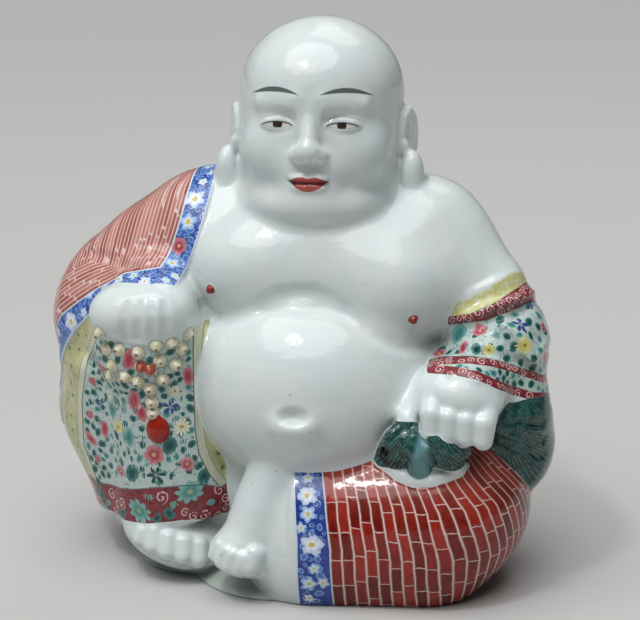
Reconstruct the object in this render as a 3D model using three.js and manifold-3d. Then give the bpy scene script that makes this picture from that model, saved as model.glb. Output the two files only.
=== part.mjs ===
// A seated budai in glazed porcelain: one cast figure, modelled solid, that stands on its flat underside.
// The figure faces -Y, its left knee lies out to +X, and +Z is up.
import * as THREE from 'three';
import { MarchingCubes } from 'three/addons/objects/MarchingCubes.js';
import { mergeVertices } from 'three/addons/utils/BufferGeometryUtils.js';
import Module from 'manifold-3d';

// Driving dimensions, in millimetres
const HEIGHT = 265; // from the underside to the crown
const CLOTH_STEP = 1.3; // how far an edge of cloth stands off what lies under it
const BEAD_DIAMETER = 5; // one bead of the string in the right hand
const PENDANT_WIDTH = 9; // the red drop at the end of the string
const PENDANT_THICKNESS = 6;
const PENDANT_LENGTH = 13;
const BASE_LIP = 7; // thickness of the ground that the feet stand on
const CELL = 1.8; // spacing of the samples that the skin is found from
const TRIANGLES = 9700; // facets of the finished skin

// Places and radii of the body are in hundredths of its height, which is how a modeller scales a figure.
const UNIT = HEIGHT / 100;

// The work goes on one step after another, and each step changes how far the points in its box are
// outside the clay.
const steps = [];

// Joins two distances with a fillet of the given size.
function join(a, b, blend) {
  const h = Math.max(blend - Math.abs(a - b), 0) / Math.max(blend, 1e-9);
  return Math.min(a, b) - (h * h * blend) / 4;
}

// A lump of clay is added (sign 1) or carved away (sign -1), and joins softly by its blend.
function lump(distance, centre, reach, blend, sign) {
  const low = centre.map((c, i) => c - reach[i] - blend - 1);
  const high = centre.map((c, i) => c + reach[i] + blend + 1);
  const work = (total, x, y, z) => {
    const d = distance(x, y, z);
    return sign > 0 ? join(total, d, blend) : -join(-total, d, blend);
  };
  steps.push({ low, high, work });
}

// How far a point is outside the clay after all the steps so far
const FAR = 8;
function clayAt(x, y, z) {
  const point = [x, y, z];
  let total = FAR;
  for (const { low, high, work } of steps) {
    if (point.every((v, i) => v >= low[i] && v <= high[i])) total = work(total, x, y, z);
  }
  return total;
}

// An ellipsoid, turned about X, then Y, then Z, in degrees
function ball(centre, radii, blend = 1, turn = [0, 0, 0], sign = 1) {
  const [rx, ry, rz] = radii;
  const euler = new THREE.Euler(...turn.map(THREE.MathUtils.degToRad), 'ZYX');
  const m = new THREE.Matrix4().makeRotationFromEuler(euler).elements;
  const distance = (x, y, z) => {
    const dx = x - centre[0];
    const dy = y - centre[1];
    const dz = z - centre[2];
    const px = (m[0] * dx + m[1] * dy + m[2] * dz) / rx;
    const py = (m[4] * dx + m[5] * dy + m[6] * dz) / ry;
    const pz = (m[8] * dx + m[9] * dy + m[10] * dz) / rz;
    const near = Math.hypot(px, py, pz);
    const slope = Math.hypot(px / rx, py / ry, pz / rz);
    return slope < 1e-9 ? -Math.min(rx, ry, rz) : (near * (near - 1)) / slope;
  };
  const reach = Math.max(rx, ry, rz);
  const turned = turn.some((angle) => angle !== 0);
  lump(distance, centre, turned ? [reach, reach, reach] : radii, blend, sign);
}

// A rod with round ends that tapers from one radius to the other
function limb(from, to, fromRadius, toRadius, blend = 1, sign = 1) {
  const axis = to.map((t, i) => t - from[i]);
  const square = axis[0] ** 2 + axis[1] ** 2 + axis[2] ** 2;
  const distance = (x, y, z) => {
    const dx = x - from[0];
    const dy = y - from[1];
    const dz = z - from[2];
    const along = (dx * axis[0] + dy * axis[1] + dz * axis[2]) / square;
    const t = Math.min(Math.max(along, 0), 1);
    const off = Math.hypot(dx - t * axis[0], dy - t * axis[1], dz - t * axis[2]);
    return off - fromRadius - t * (toRadius - fromRadius);
  };
  const middle = from.map((f, i) => (f + to[i]) / 2);
  const radius = Math.max(fromRadius, toRadius);
  const reach = axis.map((a) => Math.abs(a) / 2 + radius);
  lump(distance, middle, reach, blend, sign);
}

// The same with flat ends, whose rims and mouth are rounded by the given amount
function tube(from, to, fromRadius, toRadius, round, blend = 1, sign = 1) {
  const axis = to.map((t, i) => t - from[i]);
  const length = Math.hypot(...axis);
  const distance = (x, y, z) => {
    const dx = x - from[0];
    const dy = y - from[1];
    const dz = z - from[2];
    const along = (dx * axis[0] + dy * axis[1] + dz * axis[2]) / length;
    const t = along / length;
    const off = Math.sqrt(Math.max(dx * dx + dy * dy + dz * dz - along * along, 0));
    const side = off - fromRadius - Math.min(Math.max(t, 0), 1) * (toRadius - fromRadius) + round;
    const end = Math.abs(along - length / 2) - length / 2 + round;
    return Math.min(Math.max(side, end), 0) + Math.hypot(Math.max(side, 0), Math.max(end, 0)) - round;
  };
  const middle = from.map((f, i) => (f + to[i]) / 2);
  const radius = Math.max(fromRadius, toRadius);
  const reach = axis.map((a) => Math.abs(a) / 2 + radius);
  lump(distance, middle, reach, blend, sign);
}

const carveBall = (centre, radii, blend, turn) => ball(centre, radii, blend, turn, -1);

// The same work on both sides of the head's middle plane
const bothSides = (make) => [-1, 1].forEach(make);

// The trunk: seat, back, belly, chest, shoulders, neck, breasts and navel
function trunk() {
  ball([-1, 1, 16], [34, 20, 18], 1);
  ball([0, 6, 42], [32, 17, 27], 8);
  ball([2.5, -4, 55], [24, 15.5, 16], 5);
  ball([-18, 2, 57.5], [14, 12, 10], 5);
  ball([19.4, 1, 58.6], [13.6, 12, 12], 5);
  limb([2.6, 2, 62], [2.6, 0, 72], 15, 12.5, 5);
  ball([2, -9, 35.5], [24.5, 21.5, 19.5], 2);
  ball([-8, -7.6, 58], [13, 11.5, 9.5], 3, [0, 12, 0]);
  ball([15.5, -8.2, 56], [13.5, 12, 10.5], 3, [0, -14, 0]);
  carveBall([2.4, -31.5, 35.4], [2.8, 2.4, 1.5], 1);
  ball([2.4, -29.4, 33.4], [3.4, 1.6, 1.2], 1.2);
}

// The head is modelled about its own middle, with the face towards -Y, and is tipped back a little.
const HEAD = [2.6, -1, 82.5];
const HEAD_TIP = THREE.MathUtils.degToRad(-6);
function onHead([x, y, z]) {
  const c = Math.cos(HEAD_TIP);
  const s = Math.sin(HEAD_TIP);
  return [HEAD[0] + x, HEAD[1] + c * y - s * z, HEAD[2] + s * y + c * z];
}
const headBall = (centre, radii, blend, turn, sign) => ball(onHead(centre), radii, blend, turn, sign);
const headLimb = (from, to, a, b, blend, sign) => limb(onHead(from), onHead(to), a, b, blend, sign);

function head() {
  headBall([0, 1.5, 3], [14.6, 15.3, 14.3], 1);
  headBall([-0.3, 1.5, 5.4], [14, 14.4, 11.2], 2);
  headBall([0, -3, -6.2], [14, 12, 11.3], 4);
  headBall([0, -6.5, 4], [11, 8.6, 9], 4);
  headBall([0, -5, -14.6], [12.6, 10.4, 5.6], 2);
  headBall([0, -11.6, -13.6], [4.8, 3.6, 3.2], 2.5);
  headBall([0, -11.8, -9], [5.4, 3.6, 4], 2.5);
  bothSides((s) => {
    headBall([s * 7, -9, -5.4], [5.4, 4.6, 4.8], 3);
    headLimb([s * 2.4, -14.2, 3.1], [s * 8.8, -12, 2.6], 1, 0.7, 2);
    headBall([s * 5.6, -15.4, -0.2], [3.3, 1.6, 1.7], 1.6, [0, 0, 0], -1);
    headBall([s * 5.6, -12.1, -0.4], [2.9, 2.2, 1.6], 0.8);
    headBall([s * 2, -15.6, -6.2], [1.4, 1.6, 1.3], 0.8);
  });
  headLimb([0, -14.2, 1.4], [0, -16.2, -4.8], 1.3, 1.8, 1.6);
  headBall([0, -16.6, -5.6], [2.1, 1.8, 1.7], 1);
  headBall([0, -15.3, -10.2], [3.4, 1.1, 0.9], 0.6);
  headBall([0, -15, -11.8], [3, 1.2, 1], 0.6);
  headLimb([-3.6, -15.6, -11], [3.6, -15.6, -11], 0.35, 0.35, 0.5, -1);
  bothSides(ear);
}

function ear(s) {
  headBall([s * 15, 1.2, -3], [1.9, 3.7, 5.6], 0.8, [0, 0, s * -18]);
  headBall([s * 16.3, 0, -2.6], [1.1, 2.2, 3.9], 0.8, [0, 0, s * -18], -1);
  headBall([s * 15.7, 0.6, -4.2], [1.2, 1.6, 1.8], 0.6);
  headBall([s * 15.8, -0.4, -10.4], [2.9, 3, 3.6], 1.2);
}

// The left leg lies folded on the ground inside its cuff, and the right knee is raised under its skirt.
function foldedLeg() {
  limb([10, -8, 12], [26.6, -12, 14.6], 14, 14.6, 3);
  limb([6, -18, 12.5], [25, -17.5, 13.5], 13.4, 14.8, 3);
  limb([4, -17.8, 7.4], [23.6, -17, 8.2], 12.6, 12.4, 3);
  ball([27, -12.5, 15.2], [14.6, 17, 14], 3);
  tube([-2, -17, 11.5], [3, -17.6, 12], 12, 12.6, 1.5, 1.5);
  tube([1.8, -17.6, 12.2], [9, -18, 12.6], 14.2, 13.6, 0.8, 0.8);
}

function raisedLeg() {
  limb([-26, -14, 43], [-16, 4, 18], 11, 14, 3);
  tube([-26, -13.5, 46], [-22, -12.6, 14], 10.2, 13, 1.5, 1);
  tube([-33, -8.5, 40], [-28, -8, 11.5], 9.6, 11, 2, 1);
}

function feet() {
  limb([1, -24, 18], [-6, -29.5, 10], 7.4, 5.8, 2);
  ball([-7, -30, 8], [6.6, 6, 4.6], 1.5, [0, -20, 0]);
  limb([-5, -30, 8], [-4.4, -33.6, 5.6], 3.4, 2.9, 1);
  for (let i = 1; i <= 4; i++) {
    const size = 1.95 - 0.14 * i;
    const toe = [-6 - 1.85 * i, -33.8 + 0.9 * i, 5.2 + 1.15 * i];
    limb([toe[0] + 2.4, toe[1] + 3, toe[2] + 2.2], toe, size, size, 0.5);
  }
  ball([-22, -13, 6], [9.5, 9.5, 8], 2);
  limb([-19, -17, 6.5], [-17.6, -21.4, 3.4], 3, 2.6, 1);
  for (let i = 1; i <= 4; i++) {
    const size = 2 - 0.12 * i;
    const toe = [-18.6 - 2.6 * i, -22 + 1.8 * i, 3.4 + 0.2 * i];
    limb([toe[0] + 0.9, toe[1] + 4, toe[2] + 2.4], toe, size, size, 0.5);
  }
}

function arms() {
  limb([21, 0, 60], [31, -3, 50], 11.5, 9, 3);
  limb([36, -6, 43], [31, -24, 39], 8, 5.6, 3);
  limb([-6, 1, 64.6], [-19, 1, 58.8], 9, 10, 4);
  limb([-16, 1, 60], [-32, -1, 47.4], 12.7, 12, 4);
  limb([-34.4, -2, 46], [-33.4, -1, 26], 10.8, 11.4, 6);
  limb([-33.8, -1, 26], [-28, -1, 9], 11.4, 10.5, 6);
  limb([-34.5, -4, 46], [-25, -14.5, 52.5], 10.5, 7.4, 3);
}

function sleeve() {
  tube([29.6, -3.5, 53.4], [34.4, -6, 44], 8.8, 9, 0.8, 0.8);
  ball([35.6, -6, 45.5], [8.6, 9.5, 6], 2);
  ball([35.8, -7.5, 40], [8.4, 10, 6], 2);
  ball([32.8, -5, 49.4], [9.2, 10, 1.8], 1.5, [-12, -22, 0]);
  ball([34.8, -6.4, 45], [9.5, 10.4, 1.8], 1.5, [-8, -24, 0]);
  ball([36.2, -8.4, 40.6], [9.1, 10.8, 2], 1.5, [4, -26, 0]);
  tube([37, -5, 43.5], [33.3, -17.5, 41], 7.5, 9.2, 1, 0.8);
}

function hands() {
  ball([-25.4, -20.6, 51.4], [9.4, 6.8, 5.8], 1);
  for (const x of [-31, -27.6, -24.2, -20.8]) {
    limb([x * 0.97 - 0.6, -23.6, 52], [x, -26, 48.8], 2.6, 2.3, 0.8);
  }
  limb([-18.6, -21.6, 53], [-17.4, -24.4, 49.4], 2, 1.8, 0.6);
  ball([30.6, -24.5, 38.6], [7.6, 6, 5], 1.5, [0, 14, 0]);
  for (let i = 0; i < 4; i++) {
    limb([25.6 + 3 * i, -27, 38.6], [25.8 + 2.9 * i, -29.6, 34.6 - 0.4 * i], 2.5, 2.1, 0.8);
  }
  limb([36, -20, 38], [40.5, -16, 35.6], 3, 1.4, 1.5);
}

// The netted sack lies over the thigh behind the left hand, which holds its gathered neck and lets its
// mouth fan out over the knee.
function sack() {
  ball([36, -8, 25.5], [9.4, 12, 11], 1);
  ball([36.2, -12, 31.5], [8.4, 10, 6.4], 3);
  ball([24.6, -27.4, 29.2], [8, 4.4, 3.4], 1, [0, 6, 0]);
  ball([19.4, -27.6, 29.8], [3, 3, 3.4], 1);
  limb([21.4, -27, 31], [22.2, -27.6, 35.4], 2.6, 0.8, 1);
  const gather = [26.5, -30, 32];
  for (const tip of [[18, -29.6, 32], [17.8, -31, 28.4], [22, -32.2, 27], [27, -32, 27.2]]) {
    limb(gather, tip, 0.9, 1.1, 0.8);
  }
  const rim = [[17, -29, 28.6], [19, -31.4, 26], [23.6, -32.6, 25.4], [28.4, -31.8, 26.2], [32, -30, 28.2]];
  for (let i = 1; i < rim.length; i++) limb(rim[i - 1], rim[i], 0.9, 0.9, 0.3);
}

// The depth of the front of the clay made so far at a given place
function frontOf(x, z) {
  let outside = -60;
  let inside = outside;
  while (clayAt(x, inside, z) > 0) inside += 1;
  outside = inside - 1;
  for (let i = 0; i < 12; i++) {
    const middle = (outside + inside) / 2;
    if (clayAt(x, middle, z) > 0) outside = middle;
    else inside = middle;
  }
  return inside;
}

// The places of beads that hang in half an ellipse, a little apart, seen from the front
function swag(middle, top, halfWidth, drop) {
  const length = Math.PI * Math.sqrt((halfWidth ** 2 + drop ** 2) / 2);
  const spaces = Math.round(length / (1.2 * (BEAD_DIAMETER / UNIT)));
  return Array.from({ length: spaces + 1 }, (_, i) => {
    const angle = (Math.PI * i) / spaces;
    return [middle - halfWidth * Math.cos(angle), top - drop * Math.sin(angle)];
  });
}

// Two rows of beads hang in swags from the right hand over the knee, with a pendant below the longer one.
function beadString() {
  const radius = BEAD_DIAMETER / 2 / UNIT;
  const pendant = [-23.2, 29.2];
  const pendantSize = [PENDANT_WIDTH, PENDANT_THICKNESS, PENDANT_LENGTH].map((size) => size / 2 / UNIT);
  const long = swag(-25, 47.2, 8.2, 10.2);
  const short = swag(-25, 45.8, 6.3, 2);
  const drop = [1, 2].map((i) => [-23.5, pendant[1] + pendantSize[2] + (2 * i - 1) * radius]);
  const spots = [...long, ...short, ...drop].map(([x, z]) => [x, frontOf(x, z) - 0.3 * radius, z]);
  for (const spot of spots) ball(spot, [radius, radius, radius], 0.2);
  ball([pendant[0], frontOf(...pendant), pendant[1]], pendantSize, 0.2);
}

function nipples() {
  for (const [x, z] of [[-14, 55.1], [21.4, 51.7]]) ball([x, frontOf(x, z), z], [0.9, 0.9, 0.9], 0.5);
}

function ground() {
  ball([-3, -12, 0], [15, 16.5, BASE_LIP / UNIT], 1);
  ball([-19, -8, 0], [11, 10.5, BASE_LIP / UNIT], 1);
}

const { smoothstep, lerp } = THREE.MathUtils;

// The robe covers the right shoulder and arm and the whole back, and leaves the left shoulder bare. Its
// edge runs from the neck down the chest to the right hand, and from there down the figure's right side.
const NECK_EDGE = { x: -15.9, z: 74.2 };
const CHEST_SWEEP = 0.0115; // how the edge curves outwards on its way down the chest
const HAND_TOP = 55.4;
const SIDE_BEARING = { atHand: 1.12, low: 1.48 }; // from straight ahead, in radians
const BACK_EDGE = { z: 65.6, slope: -0.62, y: 5 }; // the line that it takes across the back

// How far a point lies inside the robe's outline: positive in it, negative on bare skin or other cloth
function insideRobe(x, y, z) {
  const chest = NECK_EDGE.x - CHEST_SWEEP * Math.max(NECK_EDGE.z - z, 0) ** 2 - x;
  const edgeBearing = lerp(SIDE_BEARING.low, SIDE_BEARING.atHand, smoothstep(z, 28, 52));
  const side = (Math.atan2(-x, -y) - edgeBearing) * Math.hypot(x, y);
  const front = lerp(side, chest, smoothstep(z, HAND_TOP - 2, HAND_TOP + 0.5));
  const acrossBack = BACK_EDGE.z + BACK_EDGE.slope * x - z;
  return Math.max(front, Math.min(acrossBack, y - BACK_EDGE.y));
}

// Folds fan out from above the right shoulder, across the back and down the robe's side.
const FAN_CENTRE = { x: -14, z: 80 };
const FOLD_HEIGHT = 0.9;
function foldOfRobe(x, y, z) {
  const dx = x - FAN_CENTRE.x;
  const dz = z - FAN_CENTRE.z;
  const fan = Math.atan2(dx, -dz);
  const spread = smoothstep(Math.hypot(dx, dz), 12, 40) * smoothstep(y, -2, 10);
  const wave = Math.cos(fan * 13 + 0.8 * Math.sin(fan * 5));
  return FOLD_HEIGHT * spread * (wave * Math.abs(wave) + 0.3);
}

// Lays the robe over what has been modelled so far.
function robe() {
  const reach = 3;
  const hem = 0.8;
  const cover = (total, x, y, z) => {
    if (Math.abs(total) > reach) return total;
    const edge = smoothstep(insideRobe(x, y, z), -hem, hem);
    return total - edge * (CLOTH_STEP / UNIT + foldOfRobe(x, y, z));
  };
  steps.push({ low: [-60, -40, -5], high: [60, 40, 82], work: cover });
}

trunk();
foldedLeg();
raisedLeg();
arms();
robe();
sleeve();
sack();
feet();
ground();
hands();
head();
beadString();
nipples();

// Samples the clay on a cube of cells, in which positive values are inside.
const BELOW = 6; // the cube starts this far under the ground, and the underside is cut flat afterwards
const FACET_ROOM = 900000; // the most facets that the sampled skin can hold
function sampleClay() {
  const span = 100 + 2 * BELOW;
  const size = Math.ceil((span * UNIT) / CELL);
  const cube = new MarchingCubes(size, new THREE.MeshBasicMaterial(), false, false, FACET_ROOM);
  const step = span / size;
  const origin = [-span / 2, -span / 2, -BELOW];
  const field = cube.field.fill(FAR);
  for (const { low, high, work } of steps) {
    const first = low.map((v, i) => Math.max(0, Math.ceil((v - origin[i]) / step)));
    const last = high.map((v, i) => Math.min(size - 1, Math.floor((v - origin[i]) / step)));
    for (let k = first[2]; k <= last[2]; k++) {
      const z = origin[2] + k * step;
      for (let j = first[1]; j <= last[1]; j++) {
        const y = origin[1] + j * step;
        let cell = (k * size + j) * size + first[0];
        for (let i = first[0]; i <= last[0]; i++, cell++) {
          field[cell] = work(field[cell], origin[0] + i * step, y, z);
        }
      }
    }
  }
  // A sample too near zero would put facets thinner than needed beside it, so it is moved off a little.
  // The cube's own faces are left empty, so that the skin closes inside it.
  const least = 0.1 * step;
  const edges = [0, 1, size - 2, size - 1];
  for (let cell = 0; cell < field.length; cell++) {
    const place = [cell % size, Math.floor(cell / size) % size, Math.floor(cell / size ** 2)];
    const empty = field[cell] > 0 || place.some((index) => edges.includes(index));
    field[cell] = empty ? -Math.max(Math.abs(field[cell]), least) : Math.max(-field[cell], least);
  }
  cube.isolation = 0;
  cube.update();
  const corners = cube.positionArray.slice(0, cube.count * 3);
  for (let i = 0; i < corners.length; i++) {
    corners[i] = (origin[i % 3] + ((corners[i] + 1) / 2) * span) * UNIT;
  }
  const skin = new THREE.BufferGeometry();
  skin.setAttribute('position', new THREE.BufferAttribute(corners, 3));
  return mergeVertices(skin, 1e-3);
}

// The places that keep finer facets than the rest, each a centre and a radius: the face, the hands with
// the beads and the sack's mouth, and the toes
const FINE = [
  [[2.6, -16, 80], 13],
  [[-24.5, -27, 43], 15],
  [[27, -30, 33], 12],
  [[-16, -30, 6], 14],
];
const FINE_CARE = 6; // how much more an error counts there
function careAt(x, y, z) {
  const near = FINE.some(([c, radius]) => Math.hypot(x - c[0], y - c[1], z - c[2]) < radius);
  return near ? FINE_CARE : 1;
}

// A queue that gives back the entry with the least cost
class Queue {
  entries = [];

  push(entry) {
    const { entries } = this;
    let i = entries.push(entry) - 1;
    while (i > 0) {
      const parent = (i - 1) >> 1;
      if (entries[parent].cost <= entry.cost) break;
      entries[i] = entries[parent];
      i = parent;
    }
    entries[i] = entry;
  }

  pop() {
    const { entries } = this;
    const top = entries[0];
    const last = entries.pop();
    let i = 0;
    while (entries.length) {
      let child = 2 * i + 1;
      if (child >= entries.length) break;
      if (child + 1 < entries.length && entries[child + 1].cost < entries[child].cost) child++;
      if (entries[child].cost >= last.cost) break;
      entries[i] = entries[child];
      i = child;
    }
    if (entries.length) entries[i] = last;
    return top;
  }
}

// Folds away the edges whose loss changes the surface least, by the sum of squared distances to the
// planes round them, until the wanted number of triangles is left.
const SPREAD_WEIGHT = 3e-4; // how much a point minds being drawn along the surface
const TURN_LIMIT = 0.35; // the cosine of the most that a facet may turn in one fold
const SLIVER = 0.12; // a facet's doubled area over its longest side squared, below which it is a sliver
function simplify(geometry, wanted) {
  const point = Float64Array.from(geometry.attributes.position.array);
  const corner = Uint32Array.from(geometry.index.array);
  const pointCount = point.length / 3;
  const fans = Array.from({ length: pointCount }, () => []);
  const quadric = new Float64Array(pointCount * 10);
  const alive = new Uint8Array(corner.length / 3).fill(1);
  const stamp = new Uint32Array(pointCount);

  // Writes the cross product of a triangle's sides, and gives its length, which is the doubled area.
  const crossOf = (a, b, c, cross) => {
    const ux = point[3 * b] - point[3 * a];
    const uy = point[3 * b + 1] - point[3 * a + 1];
    const uz = point[3 * b + 2] - point[3 * a + 2];
    const vx = point[3 * c] - point[3 * a];
    const vy = point[3 * c + 1] - point[3 * a + 1];
    const vz = point[3 * c + 2] - point[3 * a + 2];
    cross[0] = uy * vz - uz * vy;
    cross[1] = uz * vx - ux * vz;
    cross[2] = ux * vy - uy * vx;
    return Math.hypot(cross[0], cross[1], cross[2]);
  };

  const cross = [0, 0, 0];
  for (let t = 0; t < alive.length; t++) {
    const ids = corner.subarray(3 * t, 3 * t + 3);
    const area = crossOf(...ids, cross) || 1e-12;
    const [x, y, z] = cross.map((v) => v / area);
    const d = -(x * point[3 * ids[0]] + y * point[3 * ids[0] + 1] + z * point[3 * ids[0] + 2]);
    const plane = [x * x, x * y, x * z, x * d, y * y, y * z, y * d, z * z, z * d, d * d];
    for (const p of ids) {
      fans[p].push(t);
      const [px, py, pz] = point.subarray(3 * p, 3 * p + 3);
      const care = area * careAt(px / UNIT, py / UNIT, pz / UNIT);
      const spot = [1, 0, 0, -px, 1, 0, -py, 1, -pz, px * px + py * py + pz * pz];
      for (let i = 0; i < 10; i++) quadric[10 * p + i] += care * (plane[i] + SPREAD_WEIGHT * spot[i]);
    }
  }

  // Finds the best place for a and b folded into one point, and gives its cost.
  const q = new Float64Array(10);
  const place = [0, 0, 0];
  const costOf = (a, b) => {
    for (let i = 0; i < 10; i++) q[i] = quadric[10 * a + i] + quadric[10 * b + i];
    const m00 = q[4] * q[7] - q[5] * q[5];
    const m01 = q[2] * q[5] - q[1] * q[7];
    const m02 = q[1] * q[5] - q[2] * q[4];
    const m11 = q[0] * q[7] - q[2] * q[2];
    const m12 = q[1] * q[2] - q[0] * q[5];
    const m22 = q[0] * q[4] - q[1] * q[1];
    const det = q[0] * m00 + q[1] * m01 + q[2] * m02;
    place[0] = -(m00 * q[3] + m01 * q[6] + m02 * q[8]) / det;
    place[1] = -(m01 * q[3] + m11 * q[6] + m12 * q[8]) / det;
    place[2] = -(m02 * q[3] + m12 * q[6] + m22 * q[8]) / det;
    return q[3] * place[0] + q[6] * place[1] + q[8] * place[2] + q[9];
  };

  let queue = new Queue();
  const offer = (a, b) => queue.push({ cost: costOf(a, b), a, b, stampA: stamp[a], stampB: stamp[b] });
  const neighbours = (p) => {
    const found = new Set();
    for (const t of fans[p]) for (let i = 0; i < 3; i++) found.add(corner[3 * t + i]);
    found.delete(p);
    return found;
  };

  const fullness = (ids, area) => {
    let longest = 0;
    for (let i = 0; i < 3; i++) {
      const a = 3 * ids[i];
      const b = 3 * ids[(i + 1) % 3];
      const [dx, dy, dz] = [0, 1, 2].map((axis) => point[a + axis] - point[b + axis]);
      longest = Math.max(longest, dx * dx + dy * dy + dz * dz);
    }
    return area / longest;
  };

  // True if moving p to place turns one of its other triangles over or makes a worse sliver of it
  const after = [0, 0, 0];
  const spoils = (p, other) => {
    const kept = point.slice(3 * p, 3 * p + 3);
    for (const t of fans[p]) {
      const ids = corner.subarray(3 * t, 3 * t + 3);
      if (ids.includes(other)) continue;
      const areaBefore = crossOf(...ids, cross);
      const fullnessBefore = fullness(ids, areaBefore);
      point.set(place, 3 * p);
      const areaAfter = crossOf(...ids, after);
      const fullnessAfter = fullness(ids, areaAfter);
      point.set(kept, 3 * p);
      const dot = cross[0] * after[0] + cross[1] * after[1] + cross[2] * after[2];
      if (dot < TURN_LIMIT * areaBefore * areaAfter) return true;
      if (fullnessAfter < SLIVER && fullnessAfter < fullnessBefore) return true;
    }
    return false;
  };

  let left = alive.length;
  const fold = (a, b) => {
    point.set(place, 3 * a);
    for (let i = 0; i < 10; i++) quadric[10 * a + i] += quadric[10 * b + i];
    for (const t of fans[b]) {
      const ids = corner.subarray(3 * t, 3 * t + 3);
      if (ids.includes(a)) {
        alive[t] = 0;
        left--;
        for (const p of ids) if (p !== b) fans[p].splice(fans[p].indexOf(t), 1);
      } else {
        ids[ids.indexOf(b)] = a;
        fans[a].push(t);
      }
    }
    fans[b] = [];
    stamp[a]++;
    stamp[b]++;
    for (const p of neighbours(a)) offer(a, p);
  };

  // Edges that could not be folded are offered again in the next round, when the mesh has changed.
  const offerAll = () => {
    queue = new Queue();
    for (let p = 0; p < pointCount; p++) {
      for (const other of neighbours(p)) if (p < other) offer(p, other);
    }
  };
  let leftBefore = Infinity;
  while (left > wanted && left < leftBefore) {
    leftBefore = left;
    offerAll();
    while (left > wanted && queue.entries.length) {
      const { a, b, stampA, stampB } = queue.pop();
      if (stamp[a] !== stampA || stamp[b] !== stampB) continue;
      const around = neighbours(b);
      if ([...neighbours(a)].filter((p) => around.has(p)).length !== 2) continue;
      costOf(a, b);
      if (!spoils(a, b) && !spoils(b, a)) fold(a, b);
    }
  }
  const kept = [];
  for (let t = 0; t < alive.length; t++) if (alive[t]) kept.push(...corner.subarray(3 * t, 3 * t + 3));
  const made = new THREE.BufferGeometry();
  made.setAttribute('position', new THREE.Float32BufferAttribute(point, 3)).setIndex(kept);
  return mergeVertices(made.toNonIndexed(), 1e-4);
}

const wasm = await Module();
wasm.setup();

const toSolid = (geometry) =>
  new wasm.Manifold(
    new wasm.Mesh({
      numProp: 3,
      vertProperties: geometry.attributes.position.array,
      triVerts: new Uint32Array(geometry.index.array),
    }),
  );

// Cuts the figure off flat at the ground and centres it on its footprint's box.
function standOnGround(geometry) {
  const below = new THREE.BoxGeometry(4 * HEIGHT, 4 * HEIGHT, HEIGHT).translate(0, 0, -HEIGHT / 2);
  below.deleteAttribute('normal');
  below.deleteAttribute('uv');
  const mesh = toSolid(geometry).subtract(toSolid(mergeVertices(below))).getMesh();
  const made = new THREE.BufferGeometry();
  made.setAttribute('position', new THREE.BufferAttribute(mesh.vertProperties, 3));
  made.setIndex(new THREE.BufferAttribute(mesh.triVerts, 1));
  made.computeBoundingBox();
  const middle = made.boundingBox.getCenter(new THREE.Vector3());
  return made.translate(-middle.x, -middle.y, 0);
}

const porcelain = new THREE.MeshStandardMaterial({ color: 0xdfe6e6, roughness: 0.12, metalness: 0 });
const figure = new THREE.Mesh(standOnGround(simplify(sampleClay(), TRIANGLES)), porcelain);
figure.name = 'budai_figure';

const model = new THREE.Group();
model.add(figure);

export default model;
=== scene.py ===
import math

import bpy
import numpy as np
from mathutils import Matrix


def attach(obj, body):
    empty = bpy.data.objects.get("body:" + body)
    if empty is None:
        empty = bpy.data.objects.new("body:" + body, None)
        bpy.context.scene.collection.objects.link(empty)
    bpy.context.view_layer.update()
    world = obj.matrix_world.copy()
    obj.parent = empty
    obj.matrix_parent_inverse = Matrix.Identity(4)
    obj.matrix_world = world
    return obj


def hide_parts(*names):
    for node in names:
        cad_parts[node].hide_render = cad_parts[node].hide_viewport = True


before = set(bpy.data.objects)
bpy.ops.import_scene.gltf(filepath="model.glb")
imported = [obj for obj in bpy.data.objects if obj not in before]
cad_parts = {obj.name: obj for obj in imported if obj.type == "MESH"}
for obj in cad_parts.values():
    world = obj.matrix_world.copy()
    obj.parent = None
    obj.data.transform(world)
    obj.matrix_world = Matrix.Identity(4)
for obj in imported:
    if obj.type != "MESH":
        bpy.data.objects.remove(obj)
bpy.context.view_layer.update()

import openvdb
from mathutils import Matrix, Vector

# Lengths in this script are in hundredths of the figure's height, each of them MILLIMETRES long. The
# clay's own x and y are moved by MIDDLE to stand over the frame's origin.
MILLIMETRES = 2.65
UNIT = MILLIMETRES / 1000
MIDDLE = np.array([2.0245, 15.635, 0]) / 1000
CLOTH = 1.3 / MILLIMETRES
BEAD = 2.5 / MILLIMETRES
GROUND = 7 / MILLIMETRES
CELL = 0.32
TRIANGLES = 190000
FAR = 8.0
FAR_OFF = 99.0

# The camera, fitted to the photo. Places of the picture are in pixels of 640 by 620.
AZIMUTH = math.radians(8)
ELEVATION = math.radians(15)
DISTANCE = 380.0
FOCAL = 2063.0
PICTURE_WIDTH = 640
CENTRE = (320, 310)
AIM = np.array((2.2, 0.3, 45.8))
BACK = np.array((math.sin(AZIMUTH) * math.cos(ELEVATION), -math.cos(AZIMUTH) * math.cos(ELEVATION),
                 math.sin(ELEVATION)))
RIGHT = np.array((math.cos(AZIMUTH), math.sin(AZIMUTH), 0))
UP = np.cross(BACK, RIGHT)
EYE = AIM + BACK * DISTANCE

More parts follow.
